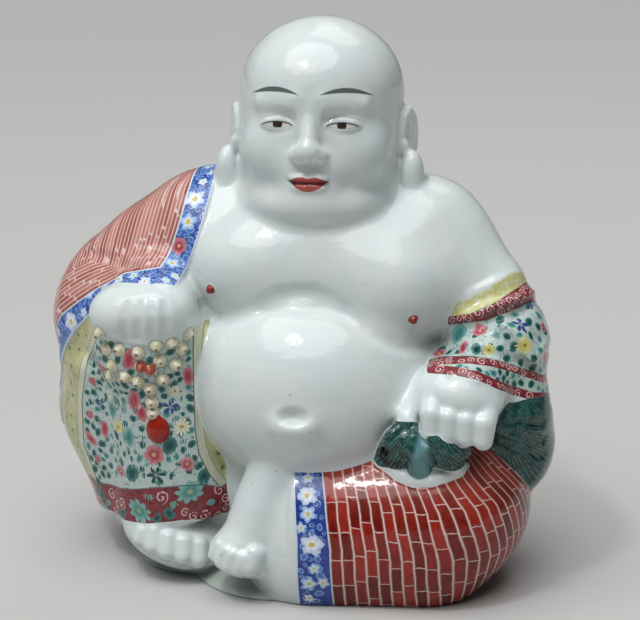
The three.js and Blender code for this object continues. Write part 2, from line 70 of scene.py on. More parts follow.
# Places of the picture that forms and borders are drawn through
BEAD_PLACES = ((100, 332), (106, 349), (119, 350), (138, 353), (156, 346), (172, 343), (188, 334),
               (182, 349), (112, 366), (111, 376), (125, 377), (138, 382), (150, 389), (163, 380),
               (176, 365), (160, 361), (141, 367), (150, 370), (152, 403), (153, 414))
RED_BEADS = (16, 17)
PENDANT_PLACE = (158, 430)
NIPPLE_PLACES = ((211, 289), (413, 319))
NAVEL_PLACE = (293, 420)
BREAST_CREASES = (((203, 308), (212, 316), (226, 318), (241, 316), (255, 312), (269, 302), (281, 297),
                   (297, 294), (313, 294), (329, 300), (345, 309)),
                  ((262, 311), (289, 309), (309, 309), (325, 310), (343, 316), (359, 325), (373, 334),
                   (387, 341), (403, 347), (417, 348), (431, 344)))
ROBE_FOLD = ((82, 253), (98, 255), (116, 262), (138, 269))
PANEL_LEFT = ((98, 330), (88, 360), (82, 400), (84, 445), (97, 480))
PANEL_RIGHT = ((193, 350), (194, 398), (195, 429), (199, 454), (209, 474), (220, 487))
HEM_TOP = ((104, 484), (119, 488), (153, 488), (182, 486), (206, 485), (220, 488), (237, 490))
CUFF_LEFT = ((293, 474), (294, 500), (296, 540), (298, 598))
CUFF_RIGHT = ((322, 472), (325, 500), (330, 550), (333, 598))
SLEEVE_LINING_TOP = ((448, 308), (470, 298), (487, 289), (500, 281), (512, 272))
SLEEVE_BORDER_TOP = ((448, 317), (470, 314), (495, 303), (513, 291), (525, 283))
SLEEVE_BORDER_LOW = ((452, 324), (470, 322), (487, 320), (507, 312), (520, 307), (529, 302))
SLEEVE_HEM_TOP = ((426, 361), (440, 357), (470, 356), (492, 359), (510, 364), (527, 370), (541, 375))
SLEEVE_HEM_LOW = ((426, 373), (453, 375), (478, 380), (495, 388), (513, 395), (535, 401))
SLEEVE_LEFT = ((449, 300), (448, 325), (442, 345), (427, 359))
SLEEVE_FOLDS = (((454, 328), (480, 325), (508, 316), (529, 305)),
                ((442, 351), (470, 351), (500, 355), (538, 371)))
SACK_GATHER = (494, 431)
SACK_PLEATS = (((506, 424), (525, 423), (543, 425)), ((504, 431), (524, 435), (544, 441)),
               ((501, 439), (522, 447), (543, 457)), ((499, 447), (519, 459), (536, 471)),
               ((503, 457), (517, 469), (529, 480)))
FRILL_GATHER = (424, 424)
FRILL_LEFT = ((414, 418), (405, 428), (394, 440), (391, 454))
FRILL_MIDDLE = ((413, 422), (413, 438), (415, 455), (420, 470))
FRILL_FOLD = ((410, 434), (404, 449), (403, 461))
FRILL_RIGHT = ((432, 444), (444, 455), (461, 464))
FRILL_RIM = ((381, 451), (386, 464), (400, 474), (415, 480), (431, 480), (446, 476), (458, 471), (466, 465))
FRILL_LIP = ((392, 458), (408, 468), (430, 470), (452, 466))
FRILL_HOLE = (384, 453)
FRILL_PLEATS = (((411, 423), (402, 431), (390, 443)), ((412, 427), (403, 439), (394, 458)),
                ((421, 436), (430, 450), (434, 464)), ((426, 440), (440, 454), (450, 464)))
FRONT_TOES = ((250, 568), (236, 571), (226, 568), (218, 563), (211, 556))
BACK_TOES = ((199, 560), (183, 557), (166, 553), (151, 547), (138, 540))
BACK_TOES_TOP = 531
FINGER_GROOVES = (((126, 305), (125, 320), (126, 337)), ((138, 303), (138, 318), (139, 338)),
                  ((151, 302), (152, 318), (153, 337)), ((164, 303), (165, 317), (166, 335)))
HEM_LOW = ((114, 512), (132, 523), (154, 523), (182, 520), (200, 519), (217, 523), (228, 514))

# The blossoms and leaves that stand out in the picture: where each is, its kind and its radius
BAND_FLOWERS = ((195, 199, "white plum", 2.1), (188, 222, "plum", 1.8), (179, 246, "rose", 1.8),
                (172, 263, "plum", 1.6), (90, 292, "plum", 1.6), (71, 322, "white plum", 2))
CUFF_FLOWERS = ((308, 478, "plum", 1.1), (307, 496, "white plum", 1.9), (308, 514, "plum", 1.6),
                (301, 528, "plum", 1.1), (312, 545, "white plum", 2.2), (314, 569, "plum", 1.2),
                (309, 584, "plum", 1.6), (323, 583, "plum", 1.3))
PANEL_FLOWERS = ((101, 368, "rose", 1.5), (188, 376, "bud", 1.0), (134, 401, "bud", 1.2),
                 (141, 412, "bud", 1.1), (105, 429, "bud", 1), (154, 455, "rose", 2.1),
                 (121, 471, "rose daisy", 1.4), (187, 464, "rose daisy", 1.6),
                 (118, 427, "yellow daisy", 1.4), (182, 427, "white daisy", 1.8),
                 (175, 391, "white daisy", 1.2), (170, 407, "blue dots", 1.6), (156, 475, "dark dots", 2),
                 (101, 404, "blue dots", 0.9))
PANEL_LEAVES = ((128, 437, "pale leaf", 1.5), (170, 446, "leaf", 1.4), (132, 473, "leaf", 1.5),
                (204, 477, "leaf", 1.3), (112, 409, "pale leaf", 1.4))
HEM_FLOWERS = ((139, 511, "lotus", 3), (190, 492, "lotus", 3))
SLEEVE_FLOWERS = ((480, 331, "rose", 1.5), (489, 350, "yellow daisy", 1.2), (463, 348, "bud", 0.8),
                  (521, 325, "blue dots", 1.9), (525, 345, "yellow daisy", 1.8))
SLEEVE_LEAVES = ((459, 335, "pale leaf", 1.6), (476, 349, "leaf", 0.9))


def to_frame(points):
    return np.asarray(points, float) * UNIT + MIDDLE


def add_object(name, data):
    thing = bpy.data.objects.new(name, data)
    bpy.context.scene.collection.objects.link(thing)
    return thing


# The clay: a grid of distances that lumps are joined to and carved from
LOW = np.array([-50.0, -40.0, -1.05])
HIGH = np.array([50.0, 30.0, 102.0])
COUNT = np.ceil((HIGH - LOW) / CELL).astype(int)
LINES = [LOW[i] + CELL * np.arange(COUNT[i]) for i in range(3)]
grid = np.full(COUNT, FAR, np.float32)
groups = {}
bead_spots = []


def join(a, b, blend):
    h = np.maximum(blend - np.abs(a - b), 0) / max(blend, 1e-9)
    return np.minimum(a, b) - h * h * (blend / 4)


def region_of(low, high):
    first = np.maximum(np.ceil((np.asarray(low) - LOW) / CELL), 0).astype(int)
    last = np.minimum(np.floor((np.asarray(high) - LOW) / CELL) + 1, COUNT).astype(int)
    cut = tuple(slice(a, b) for a, b in zip(first, last))
    axes = [LINES[i][cut[i]].astype(np.float32) for i in range(3)]
    return cut, (axes[0][:, None, None], axes[1][None, :, None], axes[2][None, None, :])


def lump(distance, middle, reach, blend, sign):
    low = np.asarray(middle) - reach - blend - 1
    high = np.asarray(middle) + reach + blend + 1
    cut, point = region_of(low, high)
    total = grid[cut]
    if total.size:
        d = distance(*point)
        grid[cut] = sign * join(sign * total, d, blend)
    current.append((distance, blend, sign))


def turn_of(degrees):
    x, y, z = (Matrix.Rotation(math.radians(a), 3, n) for a, n in zip(degrees, "XYZ"))
    return np.array(z @ y @ x)


def ball(centre, radii, blend=1.0, turn=(0, 0, 0), sign=1):
    m = turn_of(turn)
    rx, ry, rz = radii

    def distance(x, y, z):
        dx, dy, dz = x - centre[0], y - centre[1], z - centre[2]
        px, py, pz = ((m[0][i] * dx + m[1][i] * dy + m[2][i] * dz) / radii[i] for i in range(3))
        near = np.sqrt(px * px + py * py + pz * pz)
        slope = np.sqrt((px / rx) ** 2 + (py / ry) ** 2 + (pz / rz) ** 2)
        return near * (near - 1) / np.maximum(slope, 1e-6)

    reach = max(radii) if any(turn) else np.array(radii)
    lump(distance, centre, reach, blend, sign)


def chain(points, radii, blend=0.5, sign=1):
    """One form that runs through these points, this thick at each"""
    points = np.array(points, float)
    radii = np.broadcast_to(radii, len(points))

    def link(a, b, ra, rb, x, y, z):
        axis = b - a
        dx, dy, dz = x - a[0], y - a[1], z - a[2]
        t = np.clip((dx * axis[0] + dy * axis[1] + dz * axis[2]) / max(axis @ axis, 1e-9), 0, 1)
        ex, ey, ez = dx - t * axis[0], dy - t * axis[1], dz - t * axis[2]
        return np.sqrt(ex * ex + ey * ey + ez * ez) - ra - t * (rb - ra)

    def distance(x, y, z):
        links = zip(points[:-1], points[1:], radii[:-1], radii[1:])
        return np.min([link(*ends, x, y, z) for ends in links], axis=0)

    low, high = points.min(0), points.max(0)
    lump(distance, (low + high) / 2, (high - low) / 2 + max(radii), blend, sign)


def limb(a, b, ra, rb, blend=1.0, sign=1):
    chain((a, b), (ra, rb), blend, sign)


def tube(a, b, ra, rb, rounding, blend=1.0, sign=1):
    a, b = np.array(a, float), np.array(b, float)
    axis = b - a
    length = math.sqrt(axis @ axis)

    def distance(x, y, z):
        dx, dy, dz = x - a[0], y - a[1], z - a[2]
        along = (dx * axis[0] + dy * axis[1] + dz * axis[2]) / length
        off = np.sqrt(np.maximum(dx * dx + dy * dy + dz * dz - along * along, 0))
        side = off - ra - np.clip(along / length, 0, 1) * (rb - ra) + rounding
        end = np.abs(along - length / 2) - length / 2 + rounding
        outer = np.hypot(np.maximum(side, 0), np.maximum(end, 0))
        return np.minimum(np.maximum(side, end), 0) + outer - rounding

    lump(distance, (a + b) / 2, np.abs(axis) / 2 + max(ra, rb), blend, sign)


def smooth(x, low, high):
    t = np.clip((x - low) / (high - low), 0, 1)
    return t * t * (3 - 2 * t)


def sampled(points):
    """The clay's distance at any points"""
    spot = np.clip((points - LOW) / CELL, 0, COUNT - 1.001)
    cell = spot.astype(int)
    share = spot - cell
    total = 0
    for corner in np.ndindex(2, 2, 2):
        weight = np.prod([s if c else 1 - s for s, c in zip(share.T, corner)], axis=0)
        total = total + weight * grid[tuple((cell + corner).T)]
    return total


def picture_of(points):
    """Where points of the clay lie in the picture, and the picture's scale there"""
    depth = (EYE - points) @ BACK
    scale = FOCAL / depth
    return CENTRE[0] + scale * ((points - EYE) @ RIGHT), CENTRE[1] - scale * ((points - EYE) @ UP), scale


def first_clay(origin, direction, near, far):
    """Where a ray meets the clay made so far"""
    line = origin + np.arange(near, far, CELL / 2)[:, None] * direction
    values = sampled(line)
    last = max(int(np.argmax(values <= 0)), 1)
    share = values[last - 1] / max(values[last - 1] - values[last], 1e-6)
    return line[last - 1] + np.clip(share, 0, 1) * (line[last] - line[last - 1])


def seen(px, py):
    """The point of the clay that shows at this place of the picture"""
    direction = -BACK + RIGHT * ((px - CENTRE[0]) / FOCAL) + UP * ((CENTRE[1] - py) / FOCAL)
    return first_clay(EYE, direction / np.linalg.norm(direction), DISTANCE - 60, DISTANCE + 60)


def seen_all(places):
    return [seen(*place) for place in places]


def outward(point):
    steps = 0.7 * np.eye(3)
    slope = sampled(point + steps) - sampled(point - steps)
    return slope / max(np.linalg.norm(slope), 1e-6)


def stroke(places, radii, lift, blend=0.6, sign=1):
    """A chain drawn over the clay through places of the picture, its middle this far off the skin"""
    chain([p + lift * outward(p) for p in seen_all(places)], radii, blend, sign)


def field_of(name, x, y, z):
    """The distance to one group of lumps alone"""
    total = np.full(np.shape(x), FAR_OFF)
    for distance, blend, sign in groups[name]:
        d = distance(x, y, z)
        total = sign * join(sign * total, d, blend)
    return total


def beside(line, spots):
    """How far spots are from a line of points, and how far along it they lie"""
    off = np.full(len(spots), np.inf)
    along = np.zeros(len(spots))
    passed = 0.0
    for a, b in zip(line[:-1], line[1:]):
        axis = b - a
        length = np.linalg.norm(axis)
        share = np.clip((spots - a) @ axis / length ** 2, 0, 1)
        gap = np.linalg.norm(spots - a - share[:, None] * axis, axis=1)
        closer = gap < off
        off[closer] = gap[closer]
        along[closer] = passed + share[closer] * length
        passed += length
    return off, along


# The forms of the figure


def trunk():
    ball((-1, 1, 16), (34, 20, 18), 1)
    ball((0, 6, 42), (32, 17, 27), 8)
    ball((2.5, -4, 55), (24, 15.5, 16), 5)
    ball((-18, 2, 57.5), (14, 12, 10), 5)
    ball((19.4, 1, 58.6), (13.6, 12, 12), 5)
    limb((2.6, 2, 62), (2.6, 0, 72), 15, 12.5, 5)
    ball((2.8, -9, 35.5), (23.4, 21.5, 19.5), 2.5)
    ball((-8, -7.6, 56.4), (13, 11.5, 9.8), 3, (0, -8, 0))
    ball((15.6, -8.2, 54.2), (13.5, 12, 10.8), 3, (0, 14, 0))


def folded_leg():
    limb((10, -8, 12), (26.6, -12, 14.6), 14, 14.6, 3)
    limb((6, -18, 12.5), (25, -17.5, 13.5), 13.4, 14.8, 3)
    limb((4, -19.4, 7.4), (22.6, -18.4, 8.2), 12.6, 12.4, 3)
    ball((27, -12.5, 15.2), (14.6, 17, 14), 3)
    tube((-2, -17, 11.5), (3, -17.6, 12), 12, 12.6, 1.5, 1.5)
    tube((1.8, -17.6, 12.2), (9, -18, 12.6), 14.2, 13.6, 0.8, 0.8)


def raised_leg():
    limb((-26, -14, 43), (-16, 4, 18), 11, 14, 3)
    tube((-26, -13.5, 46), (-22, -10.6, 11.6), 10.2, 12.7, 1.5, 1)
    tube((-33, -8.5, 40), (-27.8, -8, 10.5), 9.6, 10, 2, 1)


def left_arm():
    limb((21, 0, 59.6), (31, -3, 50.4), 10.9, 9.6, 5)
    limb((36, -6, 43), (31, -22, 38.6), 8, 5.4, 3)


def right_shoulder():
    limb((-6, 1, 64.6), (-19, 1, 58.6), 9, 10.2, 4)
    limb((-17, 1, 59.2), (-32, -1, 46.8), 11.8, 11.7, 4)
    ball((-26.2, 0.5, 53.2), (12.6, 12, 12), 2)
    limb((-19.6, 1, 58), (-33, -0.5, 49), 11.5, 11.2, 2)


def right_side():
    limb((-34.9, -2, 42.6), (-33.4, -1, 26), 11.2, 11.4, 6)
    limb((-33.8, -1, 26), (-28.6, -1, 10.2), 11.2, 10, 6)
    limb((-34.3, -4, 45), (-26, -14.5, 51), 10.5, 7, 3)


# The robe's edge runs down the chest, and from its corner over the right hand and down the side. The
# second part is the edge's height at each bearing from straight ahead.
EDGE_BEARINGS = (0.3, 0.66, 0.85, 0.99, 1.12, 1.245, 1.394, 1.47, 1.52)
EDGE_HEIGHTS = (53.8, 54.2, 54.6, 53.0, 49.4, 44.0, 34.6, 24.0, -4.0)
ROUND = 36.0
CHEST_EDGE = -15.9
CHEST_TOP = 74.2
CHEST_SWEEP = 0.0115
BAND = 3.5
CHEST_BAND = 4.5


def from_chest_edge(x, y, z):
    return CHEST_EDGE - CHEST_SWEEP * np.maximum(CHEST_TOP - z, 0) ** 2 - x


def rolled_out(x, y, z):
    """Spots of the figure's side, as if it were rolled out flat"""
    return np.stack([ROUND * np.arctan2(-x, -y), z], 1)


def edge_line():
    return np.stack([ROUND * np.array(EDGE_BEARINGS), EDGE_HEIGHTS], 1)


def from_hand_edge(x, y, z):
    spots = rolled_out(x, y, z)
    off = beside(edge_line(), spots)[0]
    return np.where(z > np.interp(spots[:, 0], *edge_line().T), off, -off)


def from_back_edge(x, y, z):
    side = y - 5 + 0.75 * np.clip(-10 - x, 0, 6.3)
    return np.minimum(65.6 - 0.62 * x - z, side)


def inside_robe(x, y, z):
    front = np.minimum(from_chest_edge(x, y, z), from_hand_edge(x, y, z))
    return np.maximum(front, from_back_edge(x, y, z))


def fold_of_robe(x, y, z):
    dx, dz = x + 14, z - 80
    fan = np.arctan2(dx, -dz)
    spread = smooth(np.hypot(dx, dz), 12, 40) * smooth(y, -2, 10)
    wave = np.cos(fan * 13 + 0.8 * np.sin(fan * 5))
    return 0.9 * spread * (wave * np.abs(wave) + 0.3)


def robe():
    near = np.nonzero(np.abs(grid) < 3)
    x, y, z = (LINES[i][near[i]] for i in range(3))
    cloth = smooth(inside_robe(x, y, z), -0.5, 0.5) * (CLOTH + fold_of_robe(x, y, z))
    grid[near] -= np.where(z < 82, cloth, 0)
    stroke(ROBE_FOLD, (0.6, 1.1, 1.2, 0.7), 0.5, 1.2, -1)


def skirt_borders():
    for line in (PANEL_LEFT, PANEL_RIGHT):
        stroke(line, 0.5, -0.32, 0.3)


def sleeve():
    tube((30.4, -4, 51.8), (34.4, -6, 44), 8.9, 9, 0.8, 0.8)
    ball((35.2, -6, 45.5), (8.4, 9.5, 6), 2)
    ball((35.8, -7.5, 40), (8.4, 10, 6), 2)
    ball((33, -5.2, 48.6), (9.2, 10, 1.7), 1.5, (-12, -22, 0))
    ball((34.4, -6.4, 43.8), (9.1, 10.4, 1.8), 1.5, (-8, -24, 0))
    ball((36.2, -8.4, 40.6), (9.1, 10.8, 2), 1.5, (4, -26, 0))
    tube((37, -5, 43.5), (34, -14, 41.4), 7.5, 8.6, 1, 1.5)
    ball((31.6, -13.4, 40), (8.4, 9.4, 4), 1.5, (8, 4, 0))
    ball((37.8, -10, 37.8), (6.8, 8.6, 4.4), 2, (0, 24, 0))
    for fold in SLEEVE_FOLDS:
        stroke(fold, (0.7, 1.1, 1.1, 0.8), 0.45, 0.9, -1)
    stroke(SLEEVE_HEM_LOW[1:], 0.8, -0.25, 0.5)


def sack():
    ball((37.5, -7, 24.8), (8.6, 11.4, 10.6), 1)
    ball((37.8, -11.5, 31.5), (7.6, 9.6, 6.4), 3)
    for pleat in SACK_PLEATS:
        stroke(pleat, (0.5, 0.8, 0.9), 0.35, 0.7, -1)


def rim():
    stroke(FRILL_RIM, (1.0, 1.3, 1.5, 1.5, 1.4, 1.3, 1.1, 0.8), -0.5, 0.3)
    stroke(FRILL_LIP, 2.6, -1.9, 0.5)


def frill():
    ball((25, -26.2, 29.6), (7.4, 3.6, 3.4), 1, (0, 8, 0))
    stroke(FRILL_LEFT, (0.5, 1.7, 2.4, 2.4), -1.1, 1)
    stroke(FRILL_FOLD, (1, 1.9, 2.1), -0.9, 0.8)
    stroke(FRILL_RIGHT, (2.2, 2.3, 1.0), -0.9, 1)
    stroke(FRILL_MIDDLE, (0.5, 1.4, 1.8, 2.0), -0.4, 0.5)
    for pleat in FRILL_PLEATS:
        stroke(pleat, (0.4, 0.7, 0.7), 0.4, 0.7, -1)
    ball(seen(*FRILL_HOLE), (0.8, 1.6, 1), 0.2, sign=-1)


def feet():
    chain([(-1.5, -21.6, 25), (-4.4, -24, 16), (-6.6, -26, 10)], (4.8, 5.6, 5.2), 1.5)
    ball((-7.8, -27, 8.2), (6, 5.2, 4.2), 2, (0, 10, 0))
    for radius, tip in zip((2.2, 1.4, 1.25, 1.15, 1.0), FRONT_TOES):
        stroke([(tip[0] + 6, tip[1] - 13), tip], (radius * 0.9, radius), -0.45 * radius, 0.6)
    ball((-22, -15.4, 6.9), (10.4, 9.2, 5.7), 1.5, (0, 19, 0))
    for radius, tip in zip((2, 1.8, 1.7, 1.6, 1.4), BACK_TOES):
        top = (tip[0] + 2, max(tip[1] - 16, BACK_TOES_TOP))
        stroke([top, tip], (radius * 0.8, radius), -0.4 * radius, 0.7)


def ground():
    ball((-3.4, -12, 0), (15.6, 16.8, GROUND), 1)
    ball((-19, -8, 0), (11.4, 10.5, GROUND), 1)


def hands():
    ball((-29.8, -19.8, 49.4), (6.3, 6.2, 5.1), 1)
    ball((-23.8, -20.8, 50), (6.5, 6.6, 5.3), 3)
    for groove in FINGER_GROOVES:
        stroke(groove, (0.5, 0.9, 0.8), 0.55, 1.2, -1)
    ball((30.4, -22.6, 37.8), (7.4, 6, 4.2), 1.5, (0, 12, 0))
    limb((26.4, -21, 39.4), (21.2, -25.4, 34.4), 3.4, 1.5, 3)
    for i in range(4):
        x = 25.2 + 3.0 * i
        z = 37 - 0.45 * i
        joints = [(x + 0.4, -24.6, z + 0.8), (x + 0.2, -27.7, z - 1.4), (x + 0.1, -28.1, z - 4.2)]
        chain(joints, (2.4, 2.1, 1.75), 0.7)
    limb((36.5, -17, 35.6), (43.4, -11.2, 32.6), 2.2, 0.8, 1)


HEAD = np.array((2.6, -1, 82.5))
TIP = math.radians(-6)
EYE_SIDE = 5.7
EYE_HALF = 2.8


def on_head(p):
    c, s = math.cos(TIP), math.sin(TIP)
    return HEAD + (p[0], c * p[1] - s * p[2], s * p[1] + c * p[2])


def head_ball(centre, radii, blend, turn=(0, 0, 0), sign=1):
    ball(on_head(centre), radii, blend, turn, sign)


def head_limb(a, b, ra, rb, blend, sign=1):
    limb(on_head(a), on_head(b), ra, rb, blend, sign)


def face_line(places, radii, lift, blend=0.4, sign=1):
    """A chain drawn over the face through places given by x and height, seen from straight ahead"""
    ahead = on_head((0, 1, 0)) - HEAD
    points = [first_clay(on_head((x, -30, z)), ahead, 0, 30) - lift * ahead for x, z in places]
    chain(points, radii, blend, sign)


def head():
    head_ball((0, 1.5, 3), (14.6, 15.3, 14.3), 1)
    head_ball((-0.3, 1.5, 5.4), (14, 14.4, 11.2), 2)
    head_ball((0, -3, -6.2), (14, 12, 11.3), 4)
    head_ball((0, -6.5, 4), (11, 8.6, 9), 4)
    head_ball((0, -5, -14.6), (12.6, 10.4, 5.6), 2)
    head_ball((0, -11.6, -13.6), (4.8, 3.6, 3.2), 2.5)
    head_ball((0, -11.8, -9), (5.4, 3.6, 4), 2.5)
    for s in (-1, 1):
        head_ball((s * 7, -9, -5.4), (5.4, 4.6, 4.8), 3)
        head_limb((s * 2.4, -14.2, 3.1), (s * 8.8, -12, 2.6), 1, 0.7, 2)
        head_ball((s * EYE_SIDE, -15.4, -0.4), (3.4, 1.7, 1.7), 1.4, sign=-1)
        head_ball((s * EYE_SIDE, -12.3, -0.9), (3, 2.2, 1.7), 0.6)
        head_ball((s * 2, -15.6, -6.2), (1.4, 1.6, 1.3), 0.8)
    head_limb((0, -14.2, 1.4), (0, -16.2, -4.8), 1.3, 1.8, 1.6)
    head_ball((0, -16.6, -5.6), (2.1, 1.8, 1.7), 1)
    head_ball((0, -15.3, -10.2), (3.4, 1.1, 0.9), 0.6)
    head_ball((0, -15, -11.8), (3, 1.2, 1), 0.6)
    face_line([(-3.7, -10.8), (-1.6, -11.1), (0, -11), (1.6, -11.1), (3.7, -10.8)], 0.3, 0.1, 0.3, -1)
    face_line([(0, -7.8), (0, -9.3)], (0.4, 0.6), 0.3, 0.5, -1)
    for s in (-1, 1):
        face_line([(s * (EYE_SIDE + 2.9 * a), -1.1 + 1.0 * (1 - a * a)) for a in (-1, -0.6, 0, 0.6, 1)],
                  (0.25, 0.42, 0.5, 0.42, 0.25), -0.1, 0.3)
        face_line([(s * (EYE_SIDE + EYE_HALF * a), -1.2 - 0.8 * (1 - a * a)) for a in (-1, -0.5, 0.5, 1)],
                  (0.2, 0.35, 0.35, 0.2), -0.1, 0.3)
        face_line([(s * 1.1, -7), (s * 1.2, -7.2)], 0.5, 0.1, 0.3, -1)
        head_ball((s * 14.6, 1.2, -4), (1.9, 3.6, 5.6), 1.2, (0, 0, s * -26))
        head_ball((s * 16.6, -0.2, -3.9), (1.3, 1.9, 3.5), 0.7, (0, 0, s * -26), -1)
        curl = [(s * (15.6 - 0.9 * math.cos(a)), 0.9 - 2.9 * math.cos(a), -3.8 + 4.9 * math.sin(a))
                for a in np.radians((-25, 10, 45, 90, 135, 170, 205))]
        chain([on_head(p) for p in curl], 0.7, 0.7)
        head_limb((s * 15.8, 1.4, -1.4), (s * 15.6, 0.9, -6), 0.6, 0.8, 0.8)
        head_ball((s * 15.2, -2, -5), (0.9, 0.9, 1.1), 0.5)
        head_ball((s * 16.7, -1.4, -10.4), (2.2, 2.8, 4.5), 1.6)


def bead_string():
    for place in BEAD_PLACES:
        spot = seen(*place)
        out = outward(spot)
        bead_spots.append((spot, out))
        ball(spot + 0.15 * out, (BEAD,) * 3, 0.1)
        limb(spot + 0.9 * out, spot + 1.5 * out, 0.42, 0.2, 0.3)


def pendant():
    spot = seen(*PENDANT_PLACE)
    ball(spot, (1.9, 1.3, 2.3), 0.2)
    limb(spot, spot + (-0.3, 0, 2.6), 1.1, 0.4, 0.5)


def nipples():
    for place in NIPPLE_PLACES:
        spot = seen(*place)
        ball(spot + 0.35 * outward(spot), (0.75, 0.75, 0.75), 0.4)


def creases():
    for line in BREAST_CREASES:
        last = len(line) - 1
        stroke(line, np.interp(range(last + 1), (0, 2, last - 2, last), (0.4, 1.0, 1.0, 0.4)), 0.45, 1.8, -1)
    navel = seen(*NAVEL_PLACE)
    ball(navel + (0, 0.4, -1.4), (3.4, 1.4, 2), 3)
    ball(navel + (0, -1.1, 0.7), (2.8, 1.9, 1.5), 1.1, sign=-1)


STEPS = (trunk, folded_leg, raised_leg, left_arm, right_shoulder, right_side, robe, skirt_borders, sleeve,
         sack, rim, frill, feet, ground, hands, head, creases, bead_string, pendant, nipples)
for step in STEPS:
    current = groups[step.__name__] = []
    step()


# The mesh, found where the distance is zero


def surface_of(values):
    cut = np.maximum(values, -LINES[2].astype(np.float32)[None, None, :])
    tree = openvdb.FloatGrid(FAR)
    tree.copyFromArray(cut, tolerance=0)
    points, quads = tree.convertToQuads(isovalue=0.0)
    points = points * CELL + LOW
    points[:, 2] = np.where(points[:, 2] < 0.3 * CELL, 0, points[:, 2])
    return points, quads


points, quads = surface_of(grid)
mesh = bpy.data.meshes.new("budai_porcelain")
mesh.from_pydata(to_frame(points).tolist(), [], quads.tolist())
figure = add_object("budai_porcelain", mesh)
thin = figure.modifiers.new("thin", "DECIMATE")
thin.ratio = min(1.0, TRIANGLES / (2 * len(quads)))
thin.use_collapse_triangulate = True
depsgraph = bpy.context.evaluated_depsgraph_get()
thinned = bpy.data.meshes.new_from_object(figure.evaluated_get(depsgraph))
figure.modifiers.clear()
figure.data = thinned
bpy.data.meshes.remove(mesh)
mesh = figure.data
mesh.name = "budai_porcelain"
mesh.shade_smooth()

# Paint: numbers on the mesh that say what lies where


def at_points(what):
    values = np.empty(len(mesh.vertices) * 3, np.float32)
    mesh.vertices.foreach_get(what, values)
    return values.reshape(-1, 3).astype(float)


corner_of = np.empty(len(mesh.loops), np.int32)
mesh.loops.foreach_get("vertex_index", corner_of)
faces = corner_of.reshape(-1, 3)
place = (at_points("co") - MIDDLE) / UNIT
normal = at_points("normal")
X, Y, Z = place.T

away = {name: field_of(name, X, Y, Z) for name in groups if groups[name]}


def least(*names):
    return np.min([away[name] for name in names], axis=0)


def owned(*names):
    """Above 0 where the skin belongs to these groups"""
    over_all = ("robe", "skirt_borders", "creases")
    return least(*(name for name in away if name not in names + over_all)) - least(*names)


def edge_x(pixels):
    """A line of the picture as x at each height"""
    line = sorted(seen_all(pixels), key=lambda point: point[2])
    return np.interp(Z, *np.transpose(line)[[2, 0]])


def edge_z(pixels):
    """A line of the picture as a height at each x"""
    line = sorted(seen_all(pixels), key=lambda point: point[0])
    return np.interp(X, *np.transpose(line)[[0, 2]])


def room(*values):
    """Above 0 where all of these numbers are"""
    return np.minimum.reduce(values)


def store(name, domain, values):
    layer = mesh.attributes.new(name, "FLOAT_VECTOR", domain)
    layer.data.foreach_set("vector", values.astype(np.float32).ravel())


def number(name, *values):
    """Up to three numbers for every point of the mesh, which the enamels read by this name"""
    store(name, "POINT", np.stack([*values, *[np.zeros(len(X))] * (3 - len(values))], 1))


# How hollow the clay is about each point, from the distances a little way off its skin; the glaze is painted
# darker by it further down, as painted shade in hollows and creases where the glaze also pools
hollow = sum(np.clip(reach - sampled(place + normal * reach), 0, 9) / reach for reach in (0.7, 1.6, 3.2)) / 3
number("hollow", hollow)

# The robe: its blue band, then bricks in columns that fan down from the shoulder, follow the band over
# the arm and round the side, and hang from the neck behind
hand_edge = from_hand_edge(X, Y, Z)
chest_edge = from_chest_edge(X, Y, Z)
back_edge = from_back_edge(X, Y, Z)
over_robe = ("hands", "head", "feet", "sack", "frill", "rim", "sleeve", "bead_string", "pendant", "ground",
             "left_arm")
robe_in = room(inside_robe(X, Y, Z), least(*over_robe) - 0.3)
front_edge = np.minimum(chest_edge * BAND / CHEST_BAND, hand_edge)
robe_edge = np.maximum(front_edge, back_edge)
number("robe_edge", robe_edge, robe_in)

FAN_SIDE = -40.0
FAN_COLUMNS = 24
SHOULDER = (-14.0, -4.0)
NECK = (-2, 2)
BACK_COLUMNS = 22
SIDE_COLUMNS = 16
SIDE_BEARING = -0.6
from_line, along_line = beside(edge_line(), rolled_out(X, Y, Z))
from_line = from_line - BAND
band_x = CHEST_EDGE - CHEST_BAND - CHEST_SWEEP * np.maximum(CHEST_TOP - np.maximum(Z, 54), 0) ** 2
round_side = np.clip(Y + 6, 0, 8) ** 2 / 16 + np.maximum(Y - 2, 0)
off_middle = SHOULDER[0] - np.hypot(np.minimum(X - SHOULDER[0], 0), np.maximum(Y - SHOULDER[1], 0))
off_middle = np.where(X < SHOULDER[0], off_middle, X)
fan = FAN_COLUMNS * (band_x - off_middle) / (band_x - FAN_SIDE) + round_side
arm_reach = np.clip((-26.5 - X) * 0.55, 0, 7) + 4 * np.maximum(Y - 1, 0)
number("shoulder_bricks", fan, Z - 0.7 * Y, arm_reach - from_line)
number("arm_bricks", from_line, along_line, Y - 9 - 1.2 * np.maximum(-26 - X, 0))
neck_bearing = np.arctan2(X - NECK[0], Y - NECK[1])
back_across = neck_bearing * BACK_COLUMNS - SIDE_COLUMNS * np.maximum(SIDE_BEARING - neck_bearing, 0)
number("back_bricks", back_across, Z)

# The skirt: flowers on a pale panel, a yellow lining beside it and a rose hem
SKIRT_TOP = 47.5
below_hand = SKIRT_TOP - Z + 2 * np.maximum(-33 - X, 0)
below_robe = -inside_robe(X, Y, Z)
skirt_in = room(owned("raised_leg", "right_side"), below_robe, below_hand, Z - edge_z(HEM_LOW))
panel_in = room(X - edge_x(PANEL_LEFT), edge_x(PANEL_RIGHT) - X)
above_hem = Z - edge_z(HEM_TOP)
number("skirt", panel_in, above_hem, skirt_in)

